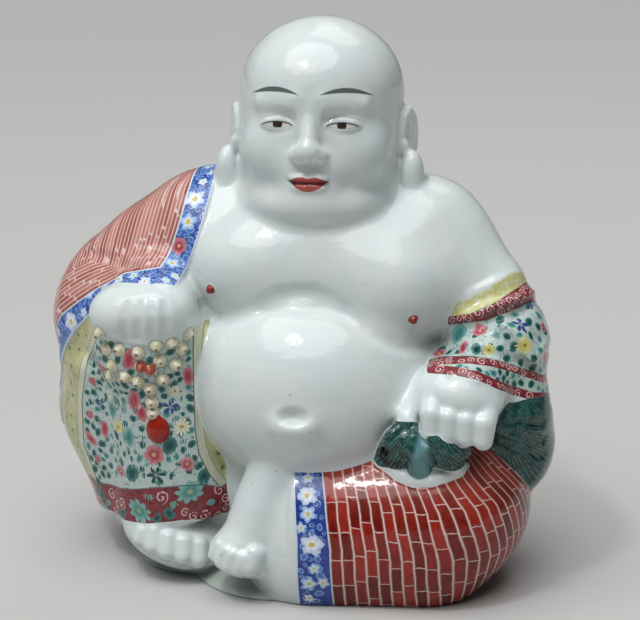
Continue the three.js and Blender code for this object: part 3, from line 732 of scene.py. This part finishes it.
# The folded leg: a blue cuff, then bricks in columns that run round the knee
leg_in = owned("folded_leg")
past_left, past_right = X - edge_x(CUFF_LEFT), X - edge_x(CUFF_RIGHT)
number("cuff", past_left, past_right, leg_in)
KNEE = (27, -12.5)
KNEE_RADIUS = 15.6
BRICK_HEIGHTS = (10, 19, 26, 30, 33)
BRICK_WIDTHS = (2.08, 1.97, 1.71, 1.46, 1.25)
round_knee = np.where(X < KNEE[0], X, KNEE[0] + KNEE_RADIUS * np.arctan2(X - KNEE[0], -(Y - KNEE[1])))
brick_width = np.interp(Z, BRICK_HEIGHTS, BRICK_WIDTHS)
number("leg_bricks", (round_knee - edge_x(CUFF_RIGHT)) / brick_width, Z)

# The sleeve: a yellow lining, a rose border, flowers and a rose hem with flowers along its middle
sleeve_in = np.where(X > 15, owned("sleeve", "left_arm", "hands"), -1)
picture_x, picture_y, scale = picture_of(place)


def above(pixels):
    """How far the skin is above a line of the picture"""
    return (np.interp(picture_x, *np.transpose(pixels)) - picture_y) / scale


below_lining = -above(SLEEVE_LINING_TOP)
below_top, below_border = -above(SLEEVE_BORDER_TOP), -above(SLEEVE_BORDER_LOW)
above_hem_top, above_hem_low = above(SLEEVE_HEM_TOP), above(SLEEVE_HEM_LOW)
number("sleeve_upper", below_lining, below_top, below_border)
left_x, left_y = np.transpose(SLEEVE_LEFT)
past_sleeve_left = (picture_x - np.interp(picture_y, left_y, left_x)) / scale
sleeve_in = room(sleeve_in, past_sleeve_left, above_hem_low)
number("sleeve_lower", above_hem_top, above_hem_low, sleeve_in)

# The sack and its frill: threads that run out from where the hand holds it
sack_in, frill_in = owned("sack"), owned("frill")
gathers = [seen(*SACK_GATHER), seen(*FRILL_GATHER) + (0, 0, 2)]
net = np.where((frill_in > sack_in)[:, None], place - gathers[1], place - gathers[0])
number("net", np.arctan2(net[:, 2], net[:, 0]), np.linalg.norm(net, axis=1))
number("sack", sack_in, frill_in)

# The small things: beads with their knots and a painted shadow ring round each, the pendant and the nipples,
# the hole in the frill painted near-black as the shade inside it, and the ground painted darker as shade and
# dirt under the feet
number("small", 0.25 - away["bead_string"], 0.25 - away["pendant"], 0.2 - away["nipples"])


def gap_to(spot):
    return np.linalg.norm(place - spot, axis=1)


tips = [np.where(gap_to(spot) < 2, (place - spot) @ out, 0) for spot, out in bead_spots]
number("bead_tip", np.max(tips, axis=0))
to_red_bead = np.min([gap_to(seen(*BEAD_PLACES[i])) for i in RED_BEADS], axis=0)
# The third number marks the ground, which is painted darker as painted shade and dirt under the feet
number("red_beads", 1.4 - to_red_bead, 1.3 - gap_to(seen(*FRILL_HOLE)), owned("ground"))

c, s = math.cos(TIP), math.sin(TIP)
own = place - HEAD
number("face", own[:, 0], c * own[:, 1] + s * own[:, 2], c * own[:, 2] - s * own[:, 1])

# Blossoms and leaves: each face of the mesh gets its place in the one nearest to it

middles = place[faces].mean(1)
face_normals = normal[faces].mean(1)
SEED = 8
chance = np.random.default_rng(SEED)


def kind(outer, inner, middle=(0, 0, 0), petals=1, notch=0.0, **others):
    """Its colours outside, inside and at the heart, its petals and how deep it is notched between them"""
    plain = dict(long=1.0, heart=0.0, outline=0.0, curl=0, ragged=0.2)
    return dict({**plain, **others}, outer=outer, inner=inner, middle=middle, petals=petals, notch=notch)


KINDS = {
    "plum": kind((0.34, 0.5, 0.8), (0.75, 0.85, 0.95), (0.6, 0.55, 0.15), 5, 0.35, heart=0.3),
    "white plum": kind((0.55, 0.66, 0.86), (0.85, 0.88, 0.92), (0.6, 0.5, 0.14), 5, 0.3, heart=0.28,
                       outline=0.15, ragged=0.4),
    "rose": kind((0.6, 0.22, 0.26), (0.4, 0.04, 0.09), (0.6, 0.4, 0.2), 5, 0.25, heart=0.22, outline=0.3),
    "rose daisy": kind((0.62, 0.24, 0.3), (0.42, 0.05, 0.1), (0.5, 0.42, 0.15), 12, 0.4, heart=0.22,
                       outline=0.7),
    "yellow daisy": kind((0.8, 0.75, 0.3), (0.66, 0.55, 0.12), (0.2, 0.22, 0.08), 13, 0.45, heart=0.2,
                         outline=0.8),
    "white daisy": kind((0.8, 0.8, 0.66), (0.7, 0.68, 0.4), (0.3, 0.2, 0.08), 11, 0.45, heart=0.2,
                        outline=0.9),
    "blue dots": kind((0.03, 0.06, 0.24), (0.04, 0.08, 0.26), (0.3, 0.35, 0.4), 5, 0.95, heart=0.22),
    "dark dots": kind((0.012, 0.05, 0.06), (0.02, 0.08, 0.09), (0.3, 0.3, 0.2), 6, 0.95, heart=0.18),
    "lotus": kind((0.22, 0.46, 0.42), (0.08, 0.26, 0.24), (0.35, 0.4, 0.25), 9, 0.35, long=0.75, heart=0.22,
                  outline=0.6),
    "leaf": kind((0.045, 0.2, 0.18), (0.008, 0.07, 0.07), long=1.35, ragged=0.25),
    "pale leaf": kind((0.16, 0.38, 0.36), (0.04, 0.2, 0.19), long=1.3, ragged=0.35),
    "bud": kind((0.58, 0.2, 0.22), (0.4, 0.04, 0.07), long=1.8, ragged=0.4),
    "curl": kind((0.78, 0.5, 0.48), (0.78, 0.5, 0.48), long=1.1, curl=1),
    "blue leaf": kind((0.2, 0.34, 0.68), (0.07, 0.15, 0.45), long=1.3, ragged=0.5),
    "blue curl": kind((0.36, 0.5, 0.78), (0.36, 0.5, 0.78), long=1.1, curl=1),
    "sprig": kind((0.1, 0.13, 0.05), (0.1, 0.13, 0.05), petals=5, notch=0.97, heart=0.1, ragged=0.5),
}
LEANING = ("leaf", "pale leaf", "bud", "curl", "blue leaf", "blue curl")
NOWHERE = 9


class Layer:
    """Blossoms that are painted at one time, none over another"""

    def __init__(self, name):
        self.name = name
        self.near = np.full(len(faces), 1.0)
        parts = ("at", "form", "extra", "outer", "inner", "middle")
        self.values = {part: np.zeros((len(corner_of), 3)) for part in parts}
        self.values["at"] += NOWHERE

    def put(self, centre, facing, name, radius, turn):
        form = KINDS[name]
        across = np.cross((0.02, 0.01, 1), facing)
        across /= np.linalg.norm(across)
        up = np.cross(facing, across)
        a = across * math.cos(turn) + up * math.sin(turn)
        b = up * math.cos(turn) - across * math.sin(turn)
        reach = 1.3 * radius * max(form["long"], 1)
        box = np.flatnonzero(np.abs(middles - centre).max(1) < reach)
        gap = np.linalg.norm(middles[box] - centre, axis=1) / reach
        take = (gap < self.near[box]) & (face_normals[box] @ facing > 0.1)
        box, gap = box[take], gap[take]
        self.near[box] = gap
        corners = (box[:, None] * 3 + (0, 1, 2)).ravel()
        own = place[corner_of[corners]] - centre
        spot = np.stack([own @ a / radius, own @ b / (radius * form["long"]), own @ facing / radius], 1)
        self.values["at"][corners] = spot
        self.values["form"][corners] = (form["petals"], form["notch"], form["heart"])
        self.values["extra"][corners] = (form["outline"], form["curl"], form["ragged"])
        for part in ("outer", "inner", "middle"):
            self.values[part][corners] = form[part]

    def place_all(self, inside, spacing, kinds, size, first=()):
        """First the blossoms that have a place in the picture, then others wherever there is room"""
        taken = np.zeros((0, 4))
        for px, py, name, radius in first:
            spot = seen(px, py)
            self.put(spot, outward(spot), name, radius, chance.uniform(-0.5, 0.5))
            taken = np.vstack([taken, (*spot, radius)])
        free = np.flatnonzero(inside[faces].min(1) > 0)
        chance.shuffle(free)
        while len(free):
            centre = middles[free[0]]
            radius = chance.uniform(*size)
            gap = np.linalg.norm(taken[:, :3] - centre, axis=1)
            if (gap < (taken[:, 3] + radius) * spacing).any():
                free = free[1:]
                continue
            name = kinds[chance.integers(len(kinds))]
            facing = face_normals[free[0]] / np.linalg.norm(face_normals[free[0]])
            lean = 1.5 if name in LEANING else 0.5
            self.put(centre, facing, name, radius, chance.uniform(-lean, lean))
            taken = np.vstack([taken, (*centre, radius)])
            gap = np.linalg.norm(middles[free] - centre, axis=1)
            free = free[gap > (radius + size[0]) * spacing]

    def store(self):
        for part, values in self.values.items():
            store(f"{self.name}_{part}", "CORNER", values)


flowers, leaves = Layer("flower"), Layer("leaf")
robe_band = room(robe_in, 1.2 - np.abs(robe_edge - 1.8))
flowers.place_all(robe_band, 1.2, ("plum", "plum", "white plum"), (1.0, 1.6), BAND_FLOWERS)
leaves.place_all(robe_band + 0.5, 0.95, ("blue leaf", "blue curl"), (0.4, 0.8))
cuff_band = room(leg_in, past_left, -past_right) - 1.3
leaves.place_all(cuff_band + 0.8, 0.95, ("blue leaf", "blue curl"), (0.4, 0.8))
flowers.place_all(cuff_band, 1.15, ("plum", "white plum"), (1.0, 1.4), CUFF_FLOWERS)
panel_room = room(panel_in, above_hem, skirt_in) - 0.9
flowers.place_all(panel_room, 1.9, ("rose", "rose daisy", "yellow daisy", "white daisy", "blue dots", "bud"),
                  (0.9, 1.4), PANEL_FLOWERS)
leaves.place_all(panel_room + 0.4, 1.08, ("leaf", "leaf", "leaf", "pale leaf"), (0.45, 0.8), PANEL_LEAVES)
lining_room = room(-1.5 - panel_in, above_hem, skirt_in) - 0.4
leaves.place_all(lining_room, 2.4, ("sprig",), (0.4, 0.7))
hem_room = room(-above_hem, skirt_in, 9 + above_hem) - 0.2
flowers.place_all(hem_room, 0.88, ("curl", "curl", "curl", "leaf", "lotus"), (0.8, 1.3), HEM_FLOWERS)
top_border = room(sleeve_in, below_top, -below_border) - 0.3
flowers.place_all(top_border, 0.95, ("curl",), (0.65, 0.9))
between_hems = room(-above_hem_top - 1.4, above_hem_low - 1.4)
hem_strips = room(sleeve_in, -above_hem_top, above_hem_low + 1, -between_hems) - 0.2
flowers.place_all(hem_strips, 0.95, ("curl",), (0.6, 0.9))
leaves.place_all(room(sleeve_in, between_hems), 1.1, ("leaf", "pale leaf"), (0.45, 0.7))
sleeve_room = room(below_border, above_hem_top, sleeve_in) - 0.5
flowers.place_all(sleeve_room, 2.2, ("rose", "yellow daisy", "blue dots", "white daisy", "bud"), (0.9, 1.4),
                  SLEEVE_FLOWERS)
leaves.place_all(sleeve_room, 1.6, ("leaf", "pale leaf", "leaf"), (0.5, 0.85), SLEEVE_LEAVES)
flowers.store()
leaves.store()

# The enamels, as shader nodes

material = bpy.data.materials.new("porcelain")
material.use_nodes = True
nodes, links = material.node_tree.nodes, material.node_tree.links
shader = nodes["Principled BSDF"]


class Number:
    """A number that changes over the surface, worked out by nodes"""

    def __init__(self, socket):
        self.socket = socket

    def __add__(self, other):
        return calculate("ADD", self, other)

    def __sub__(self, other):
        return calculate("SUBTRACT", self, other)

    def __rsub__(self, other):
        return calculate("SUBTRACT", other, self)

    def __mul__(self, other):
        return calculate("MULTIPLY", self, other)

    def __truediv__(self, other):
        return calculate("DIVIDE", self, other)

    def __neg__(self):
        return self * -1.0

    __radd__, __rmul__ = __add__, __mul__


def plug(value, socket):
    if isinstance(value, Number):
        links.new(value.socket, socket)
    else:
        socket.default_value = value


def calculate(operation, *values):
    node = nodes.new("ShaderNodeMath")
    node.operation = operation
    for value, socket in zip(values, node.inputs):
        plug(value, socket)
    return Number(node.outputs[0])


def both(a, b):
    return calculate("MINIMUM", a, b)


def either(a, b):
    return calculate("MAXIMUM", a, b)


def share_of(value):
    return calculate("FRACT", value)


def size_of(value):
    return calculate("ABSOLUTE", value)


def step_at(value, low, high):
    """0 below low and 1 above high, with a smooth rise between"""
    node = nodes.new("ShaderNodeMapRange")
    node.interpolation_type = "SMOOTHSTEP"
    plug(value, node.inputs["Value"])
    plug(low, node.inputs["From Min"])
    plug(high, node.inputs["From Max"])
    return Number(node.outputs["Result"])


def inside(value, edge=0.05):
    return step_at(value, -edge, edge)


def line_at(value, width, soft=0.05):
    """1 where the value is within this width of 0"""
    return 1 - step_at(size_of(value), width - soft, width + soft)


def pick(low, high, share):
    return low + (high - low) * share


def paint(under, over, cover):
    """One colour over another, where cover is from 0 to 1"""
    node = nodes.new("ShaderNodeMix")
    node.data_type = "RGBA"
    plug(cover, node.inputs[0])
    for colour, socket in ((under, node.inputs[6]), (over, node.inputs[7])):
        if isinstance(colour, tuple):
            socket.default_value = (*colour, 1)
        else:
            links.new(colour, socket)
    return node.outputs[2]


def vector_of(name):
    node = nodes.new("ShaderNodeAttribute")
    node.attribute_name = name
    return node.outputs["Vector"]


def numbers(name):
    split = nodes.new("ShaderNodeSeparateXYZ")
    links.new(vector_of(name), split.inputs[0])
    return [Number(socket) for socket in split.outputs]


def joined(a, b, c=0.0):
    node = nodes.new("ShaderNodeCombineXYZ")
    for value, socket in zip((a, b, c), node.inputs):
        plug(value, socket)
    return node.outputs[0]


texture_place = nodes.new("ShaderNodeTexCoord").outputs["Object"]


def noise(size, detail=2.0, rough=0.5, at=None):
    """Cloudy noise from 0 to 1, with its spots about this many units across"""
    node = nodes.new("ShaderNodeTexNoise")
    links.new(at or texture_place, node.inputs["Vector"])
    node.inputs["Scale"].default_value = 1 / size if at else 1 / (size * UNIT)
    node.inputs["Detail"].default_value = detail
    node.inputs["Roughness"].default_value = rough
    return Number(node.outputs["Fac"])


def random_of(a, b=0.0):
    node = nodes.new("ShaderNodeTexWhiteNoise")
    node.noise_dimensions = "2D"
    links.new(joined(a, b), node.inputs["Vector"])
    return Number(node.outputs["Value"])


fine, small, broad, cloud = noise(0.45, 3), noise(1.1, 2), noise(2.6, 3), noise(9, 2)
grain = (fine - 0.5) * 0.16

GLAZE = (0.69, 0.755, 0.75)
PALE = (0.5, 0.6, 0.575)
INK = (0.02, 0.022, 0.025)
WHITE_LINE = (0.62, 0.7, 0.78)


def bricks(across, along, length, joint, deep, bright, pale):
    """Bricks in columns one unit wide, each column with its own shift, laid in red with pale joints"""
    across = across + (broad - 0.5) * 0.16 + (small - 0.5) * 0.06
    column = calculate("FLOOR", across)
    side = share_of(across)
    course = along / length + random_of(column) * 7 + (small - 0.5) * 0.12
    row = calculate("FLOOR", course)
    end = share_of(course)
    to_side = both(side, 1 - side)
    to_end = both(end, 1 - end) * length
    streak = noise(1.0, 3, at=joined(across * 3, along * 0.5))
    tone = random_of(column, row) * 0.45 + broad * 0.3 + streak * 0.6
    colour = paint(deep, bright, step_at(tone, 0.4, 1.05))
    near = both(to_side / joint, to_end / joint) + grain * 3
    colour = paint(paint(colour, pale, 0.35), colour, step_at(near, 1.2, 3.2))
    return paint(pale, colour, step_at(near, 0.7, 1.35))


def drawn(name):
    """The colour of the layer's blossoms or leaves, and where they are"""
    a, b, off = numbers(name + "_at")
    petals, notch, heart = numbers(name + "_form")
    outline, curl, ragged = numbers(name + "_extra")
    a, b = a + (fine - 0.5) * ragged * 1.4, b + (small - 0.5) * ragged * 1.8
    r = calculate("SQRT", a * a + b * b)
    turn = calculate("ARCTAN2", b, a)
    wave = size_of(calculate("COSINE", turn * petals * 0.5))
    reach = 1 - notch * (1 - wave)
    flower = step_at(reach - r, 0.0, 0.12)
    coil = share_of(turn * (0.5 / math.pi) + r * 1.5)
    ring = step_at(r, 0.1, 0.2) * (1 - step_at(r, 0.95, 1.08)) * line_at(coil - 0.5, 0.17, 0.09)
    cover = pick(flower, ring, curl) * (1 - step_at(size_of(off), 0.8, 1.1))
    outwards = step_at(r / either(reach, 0.2), 0.25, 0.85)
    colour = paint(vector_of(name + "_inner"), vector_of(name + "_outer"), outwards)
    rim = step_at(r - reach + 0.22, 0.06, 0.16)
    vein = (1 - step_at(wave, 0.12, 0.3)) * step_at(r - heart, 0.0, 0.1)
    colour = paint(colour, INK, either(rim, vein) * outline * 0.75)
    colour = paint(colour, vector_of(name + "_middle"), step_at(heart - r, 0.0, 0.06))
    return colour, cover


flower_colour, flower_cover = drawn("flower")
leaf_colour, leaf_cover = drawn("leaf")
tendril = line_at(noise(1.5, 1) - 0.5, 0.015, 0.009) * step_at(noise(3.3, 1), 0.42, 0.5)


def flowered(under):
    return paint(under, flower_colour, flower_cover)


def leafy(under):
    return paint(under, leaf_colour, leaf_cover)


def decorated(under):
    return flowered(leafy(paint(under, (0.1, 0.17, 0.13), tendril * 0.8)))


def yellow_enamel():
    return paint((0.4, 0.42, 0.2), (0.62, 0.62, 0.36), step_at(broad * 0.7 + small * 0.3, 0.3, 0.7))


def rose_enamel():
    return paint((0.12, 0.012, 0.017), (0.3, 0.05, 0.06), step_at(small * 0.6 + fine * 0.5, 0.3, 0.8))


def painted_robe(colour):
    edge, cover = numbers("robe_edge")[:2]
    fan, fan_along, on_arm = numbers("shoulder_bricks")
    arm_off, arm_along, behind = numbers("arm_bricks")
    back_across, back_along = numbers("back_bricks")[:2]
    on_arm, behind = step_at(on_arm, -0.02, 0.02), step_at(behind, -0.02, 0.02)
    across = pick(pick(fan, back_across, behind), arm_off / 0.82, on_arm)
    along = pick(pick(fan_along, back_along, behind), arm_along, on_arm)
    laid = bricks(across, along, length=3.8, joint=0.08, deep=(0.36, 0.11, 0.085), bright=(0.6, 0.29, 0.25),
                  pale=(0.76, 0.6, 0.56))
    laid = paint(laid, (0.25, 0.05, 0.04), line_at(edge - BAND - 0.25, 0.12) * 0.6)
    laid = paint(flowered(leafy(BLUE)), laid, inside(edge - BAND))
    laid = paint(laid, WHITE_LINE, either(line_at(edge - BAND, 0.13), line_at(edge - 0.18, 0.14)))
    return paint(colour, laid, inside(cover))


def painted_skirt(colour):
    panel, above_hem, cover = numbers("skirt")
    lining = leafy(yellow_enamel())
    lining = paint(lining, (0.66, 0.68, 0.56), step_at(panel, -1.35, -1.25) * 0.8)
    lining = paint(lining, INK, line_at(panel + 1.3, 0.07) * 0.5)
    cloth = paint(lining, decorated(PALE), inside(panel))
    cloth = paint(cloth, INK, line_at(panel, 0.1) * 0.8)
    cloth = paint(flowered(rose_enamel()), cloth, inside(above_hem))
    cloth = paint(cloth, INK, line_at(above_hem - 0.1, 0.09) * 0.8)
    return paint(colour, cloth, inside(cover))


def painted_leg(colour):
    past_left, past_right, cover = numbers("cuff")
    across, height = numbers("leg_bricks")[:2]
    laid = bricks(across, height, length=4.9, joint=0.052, deep=(0.13, 0.005, 0.002),
                  bright=(0.38, 0.026, 0.014), pale=(0.76, 0.6, 0.55))
    # The bricks turn lighter towards the top of the knee
    laid = paint(laid, (0.6, 0.2, 0.16), step_at(height, 15, 28) * 0.3)
    laid = paint(flowered(leafy(paint(BLUE, (0.012, 0.03, 0.26), 0.6))), laid, inside(past_right))
    laid = paint(laid, WHITE_LINE, either(line_at(past_right, 0.13), line_at(past_left - 0.12, 0.15)))
    return paint(colour, laid, inside(both(cover, past_left)))


def painted_sleeve(colour):
    below_lining, below_top, below_border = numbers("sleeve_upper")
    above_hem_top, above_hem_low, cover = numbers("sleeve_lower")
    yellow = step_at(small * 0.5 + fine * 0.6, 0.42, 0.62) * 0.9
    lining = paint((0.64, 0.65, 0.48), (0.52, 0.52, 0.16), yellow)
    cloth = paint(GLAZE, lining, inside(below_lining + grain * 4, 0.3))
    cloth = paint(cloth, flowered(rose_enamel()), inside(below_top))
    cloth = paint(cloth, decorated(PALE), inside(below_border))
    cloth = paint(cloth, flowered(rose_enamel()), inside(-above_hem_top))
    middle = both(-above_hem_top - 1.3, above_hem_low - 1.5)
    cloth = paint(cloth, decorated((0.5, 0.62, 0.58)), inside(middle))
    edges = either(line_at(below_top, 0.08), line_at(below_border, 0.08))
    edges = either(edges, either(line_at(above_hem_top, 0.09), line_at(above_hem_low, 0.08)))
    cloth = paint(cloth, INK, edges * 0.7)
    return paint(colour, cloth, inside(cover))


def painted_sack(colour):
    on_sack, on_frill = numbers("sack")[:2]
    angle, out = numbers("net")[:2]
    thread = share_of(angle * 17 + (broad - 0.5) * 0.6)
    knot = share_of(out * 2.2 + (small - 0.5) * 0.6)
    light = line_at(thread - 0.5, 0.22, 0.14) * (0.35 + 0.65 * line_at(knot - 0.5, 0.3, 0.14))
    net = paint((0.004, 0.026, 0.024), (0.016, 0.08, 0.074), step_at(broad * 0.6 + fine * 0.5, 0.35, 0.75))
    net = paint(net, (0.14, 0.29, 0.27), light * step_at(small, 0.35, 0.62) * 0.75)
    pale = paint(net, (0.2, 0.42, 0.46), line_at(angle + 1.62, 0.17, 0.1) * 0.6)
    colour = paint(colour, net, inside(on_sack))
    return paint(colour, pale, inside(on_frill))


def painted_small(colour):
    beads, drop, nipple = numbers("small")
    red_bead, hole_shade, ground = numbers("red_beads")
    cream = paint((0.62, 0.57, 0.37), (0.78, 0.75, 0.58), step_at(small, 0.3, 0.55))
    knot = step_at(numbers("bead_tip")[0], 1.05, 1.35) * step_at(small, 0.25, 0.5)
    cream = paint(cream, (0.2, 0.11, 0.06), knot)
    cream = paint(cream, (0.4, 0.08, 0.05), inside(red_bead))
    # Painted shade and dirt: the ground under the feet darkened to green-grey
    colour = paint(colour, (0.36, 0.4, 0.35), inside(ground, 0.6) * 0.7)
    # Painted shadow: a dark ring round each bead where it meets the cloth
    colour = paint(colour, (0.14, 0.12, 0.08), line_at(beads + 0.1, 0.11, 0.1) * 0.6)
    colour = paint(colour, cream, inside(beads))
    colour = paint(colour, paint((0.26, 0.008, 0.004), (0.44, 0.03, 0.015), broad), inside(drop))
    # Painted shade: the hole in the frill filled with near-black, the shade inside it
    colour = paint(colour, (0.01, 0.01, 0.01), inside(hole_shade, 0.4))
    return paint(colour, (0.24, 0.03, 0.02), inside(nipple, 0.1))


BROW_SIDE = 6.2
BROW_HALF = 4.4
BROW_HEIGHT = 4.1


def painted_face(colour):
    """Thin brows, lid lines, half-closed eyes and red lips"""
    x, y, z = numbers("face")
    side = size_of(x)
    ahead = step_at(-y, 6.0, 7.0)
    brow_way = (side - BROW_SIDE) / BROW_HALF
    brow_rise = 1 - brow_way * brow_way
    off_brow = size_of(z - BROW_HEIGHT - 0.9 * brow_rise)
    brow = inside(0.42 * brow_rise + 0.02 - off_brow, 0.1) * inside(brow_rise)
    colour = paint(colour, INK, brow * ahead * 0.85)
    way = (side - EYE_SIDE) / EYE_HALF
    rise = 1 - way * way
    upper, lower = z + 1.15 - 0.62 * rise, z + 1.15 + 0.42 * rise
    opening = both(-upper, lower)
    iris = 0.85 - calculate("SQRT", (side - 5.6) * (side - 5.6) + (z + 0.95) * (z + 0.95))
    eye = paint((0.72, 0.74, 0.72), (0.035, 0.018, 0.01), inside(iris, 0.08))
    colour = paint(colour, eye, inside(opening, 0.05) * ahead)
    along_lids = inside(rise, 0.03) * ahead
    colour = paint(colour, INK, line_at(upper, 0.13, 0.07) * along_lids * 0.9)
    colour = paint(colour, (0.16, 0.12, 0.1), line_at(upper - 1.05, 0.06, 0.05) * along_lids * 0.6)
    colour = paint(colour, (0.2, 0.14, 0.12), line_at(lower, 0.05, 0.04) * along_lids * 0.5)
    mouth = z + 11.05 - x * x * 0.022
    upper_lip = 1.3 * (1 - x * x / 13.0) - 0.3 * (1 - step_at(side, 0.2, 1.2)) - mouth
    lower_lip = mouth + 1.45 * (1 - x * x / 10.5)
    lips = both(upper_lip, lower_lip)
    red = paint((0.3, 0.035, 0.03), (0.46, 0.1, 0.08), step_at(size_of(mouth), 0.1, 0.9))
    colour = paint(colour, red, inside(lips, 0.1) * ahead)
    return paint(colour, (0.06, 0.008, 0.008), line_at(mouth, 0.1, 0.06) * inside(3.5 - side, 0.2) * ahead)


BLUE = paint((0.018, 0.05, 0.24), (0.1, 0.2, 0.55), step_at(broad * 0.6 + fine * 0.6, 0.4, 0.85))
colour = paint((0.655, 0.735, 0.735), (0.71, 0.765, 0.755), step_at(cloud, 0.35, 0.65))
for painted in (painted_robe, painted_skirt, painted_leg, painted_sleeve, painted_sack, painted_small,
                painted_face):
    colour = painted(colour)
hollow_shade = numbers("hollow")[0]
# Painted shade: the glaze darkened towards a dark green-grey in hollows and creases, also standing for glaze
# pooled there
colour = paint(colour, (0.13, 0.15, 0.12), step_at(hollow_shade + (small - 0.5) * 0.4, 0.4, 1.3) * 0.65)
speck = step_at(noise(0.5, 0), 0.88, 0.9)
colour = paint(colour, (0.1, 0.09, 0.07), speck * 0.8)
links.new(colour, shader.inputs["Base Color"])
plug(0.07 + cloud * 0.08 + fine * 0.04, shader.inputs["Roughness"])
shader.inputs["IOR"].default_value = 1.45
ripple = nodes.new("ShaderNodeBump")
ripple.inputs["Strength"].default_value = 0.3
ripple.inputs["Distance"].default_value = 0.001
plug(broad * 0.7 + small * 0.3, ripple.inputs["Height"])
links.new(ripple.outputs["Normal"], shader.inputs["Normal"])
mesh.materials.clear()
mesh.materials.append(material)

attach(figure, "root")
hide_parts("budai_figure")

# Camera, floor and light

camera = add_object("camera", bpy.data.cameras.new("camera"))
camera.data.sensor_width = 36
camera.data.lens = FOCAL / PICTURE_WIDTH * camera.data.sensor_width
camera.data.clip_start, camera.data.clip_end = 0.05, 50
camera.location = to_frame(EYE)
camera.rotation_euler = Vector(-BACK).to_track_quat("-Z", "Y").to_euler()
bpy.context.scene.camera = camera

FLOOR = 4
floor_mesh = bpy.data.meshes.new("floor")
corners = [(-FLOOR, -FLOOR, 0), (FLOOR, -FLOOR, 0), (FLOOR, FLOOR, 0), (-FLOOR, FLOOR, 0)]
floor_mesh.from_pydata(corners, [], [(0, 1, 2, 3)])
floor = add_object("floor", floor_mesh)
floor_material = bpy.data.materials.new("floor")
floor_material.use_nodes = True
floor_shader = floor_material.node_tree.nodes["Principled BSDF"]
floor_shader.inputs["Base Color"].default_value = (0.5, 0.5, 0.49, 1)
floor_shader.inputs["Roughness"].default_value = 0.9
floor_mesh.materials.append(floor_material)


def light(name, place, aim, size, power):
    data = bpy.data.lights.new(name, "AREA")
    data.shape = "RECTANGLE"
    data.size, data.size_y = size
    data.energy = power
    lamp = add_object(name, data)
    lamp.location = place
    lamp.rotation_euler = (Vector(place) - Vector(aim)).to_track_quat("Z", "Y").to_euler()


light("key", (-0.42, -0.7, 1.6), (0, 0, 0.13), (0.2, 0.14), 6)
light("back", (0.2, 0.9, 1.4), (0, 0, 0.1), (0.9, 0.6), 2.5)
sky = bpy.data.lights.new("sky", "SUN")
sky.energy = 2.75
sky.angle = math.radians(62)
overhead = add_object("sky", sky)
overhead.rotation_euler = Vector((-0.15, -0.24, 1)).to_track_quat("Z", "Y").to_euler()
world = bpy.data.worlds.new("world")
bpy.context.scene.world = world
world.use_nodes = True
world.node_tree.nodes["Background"].inputs["Color"].default_value = (0.84, 0.9, 0.9, 1)
world.node_tree.nodes["Background"].inputs["Strength"].default_value = 0.06
bpy.context.scene.view_settings.view_transform = "Standard"
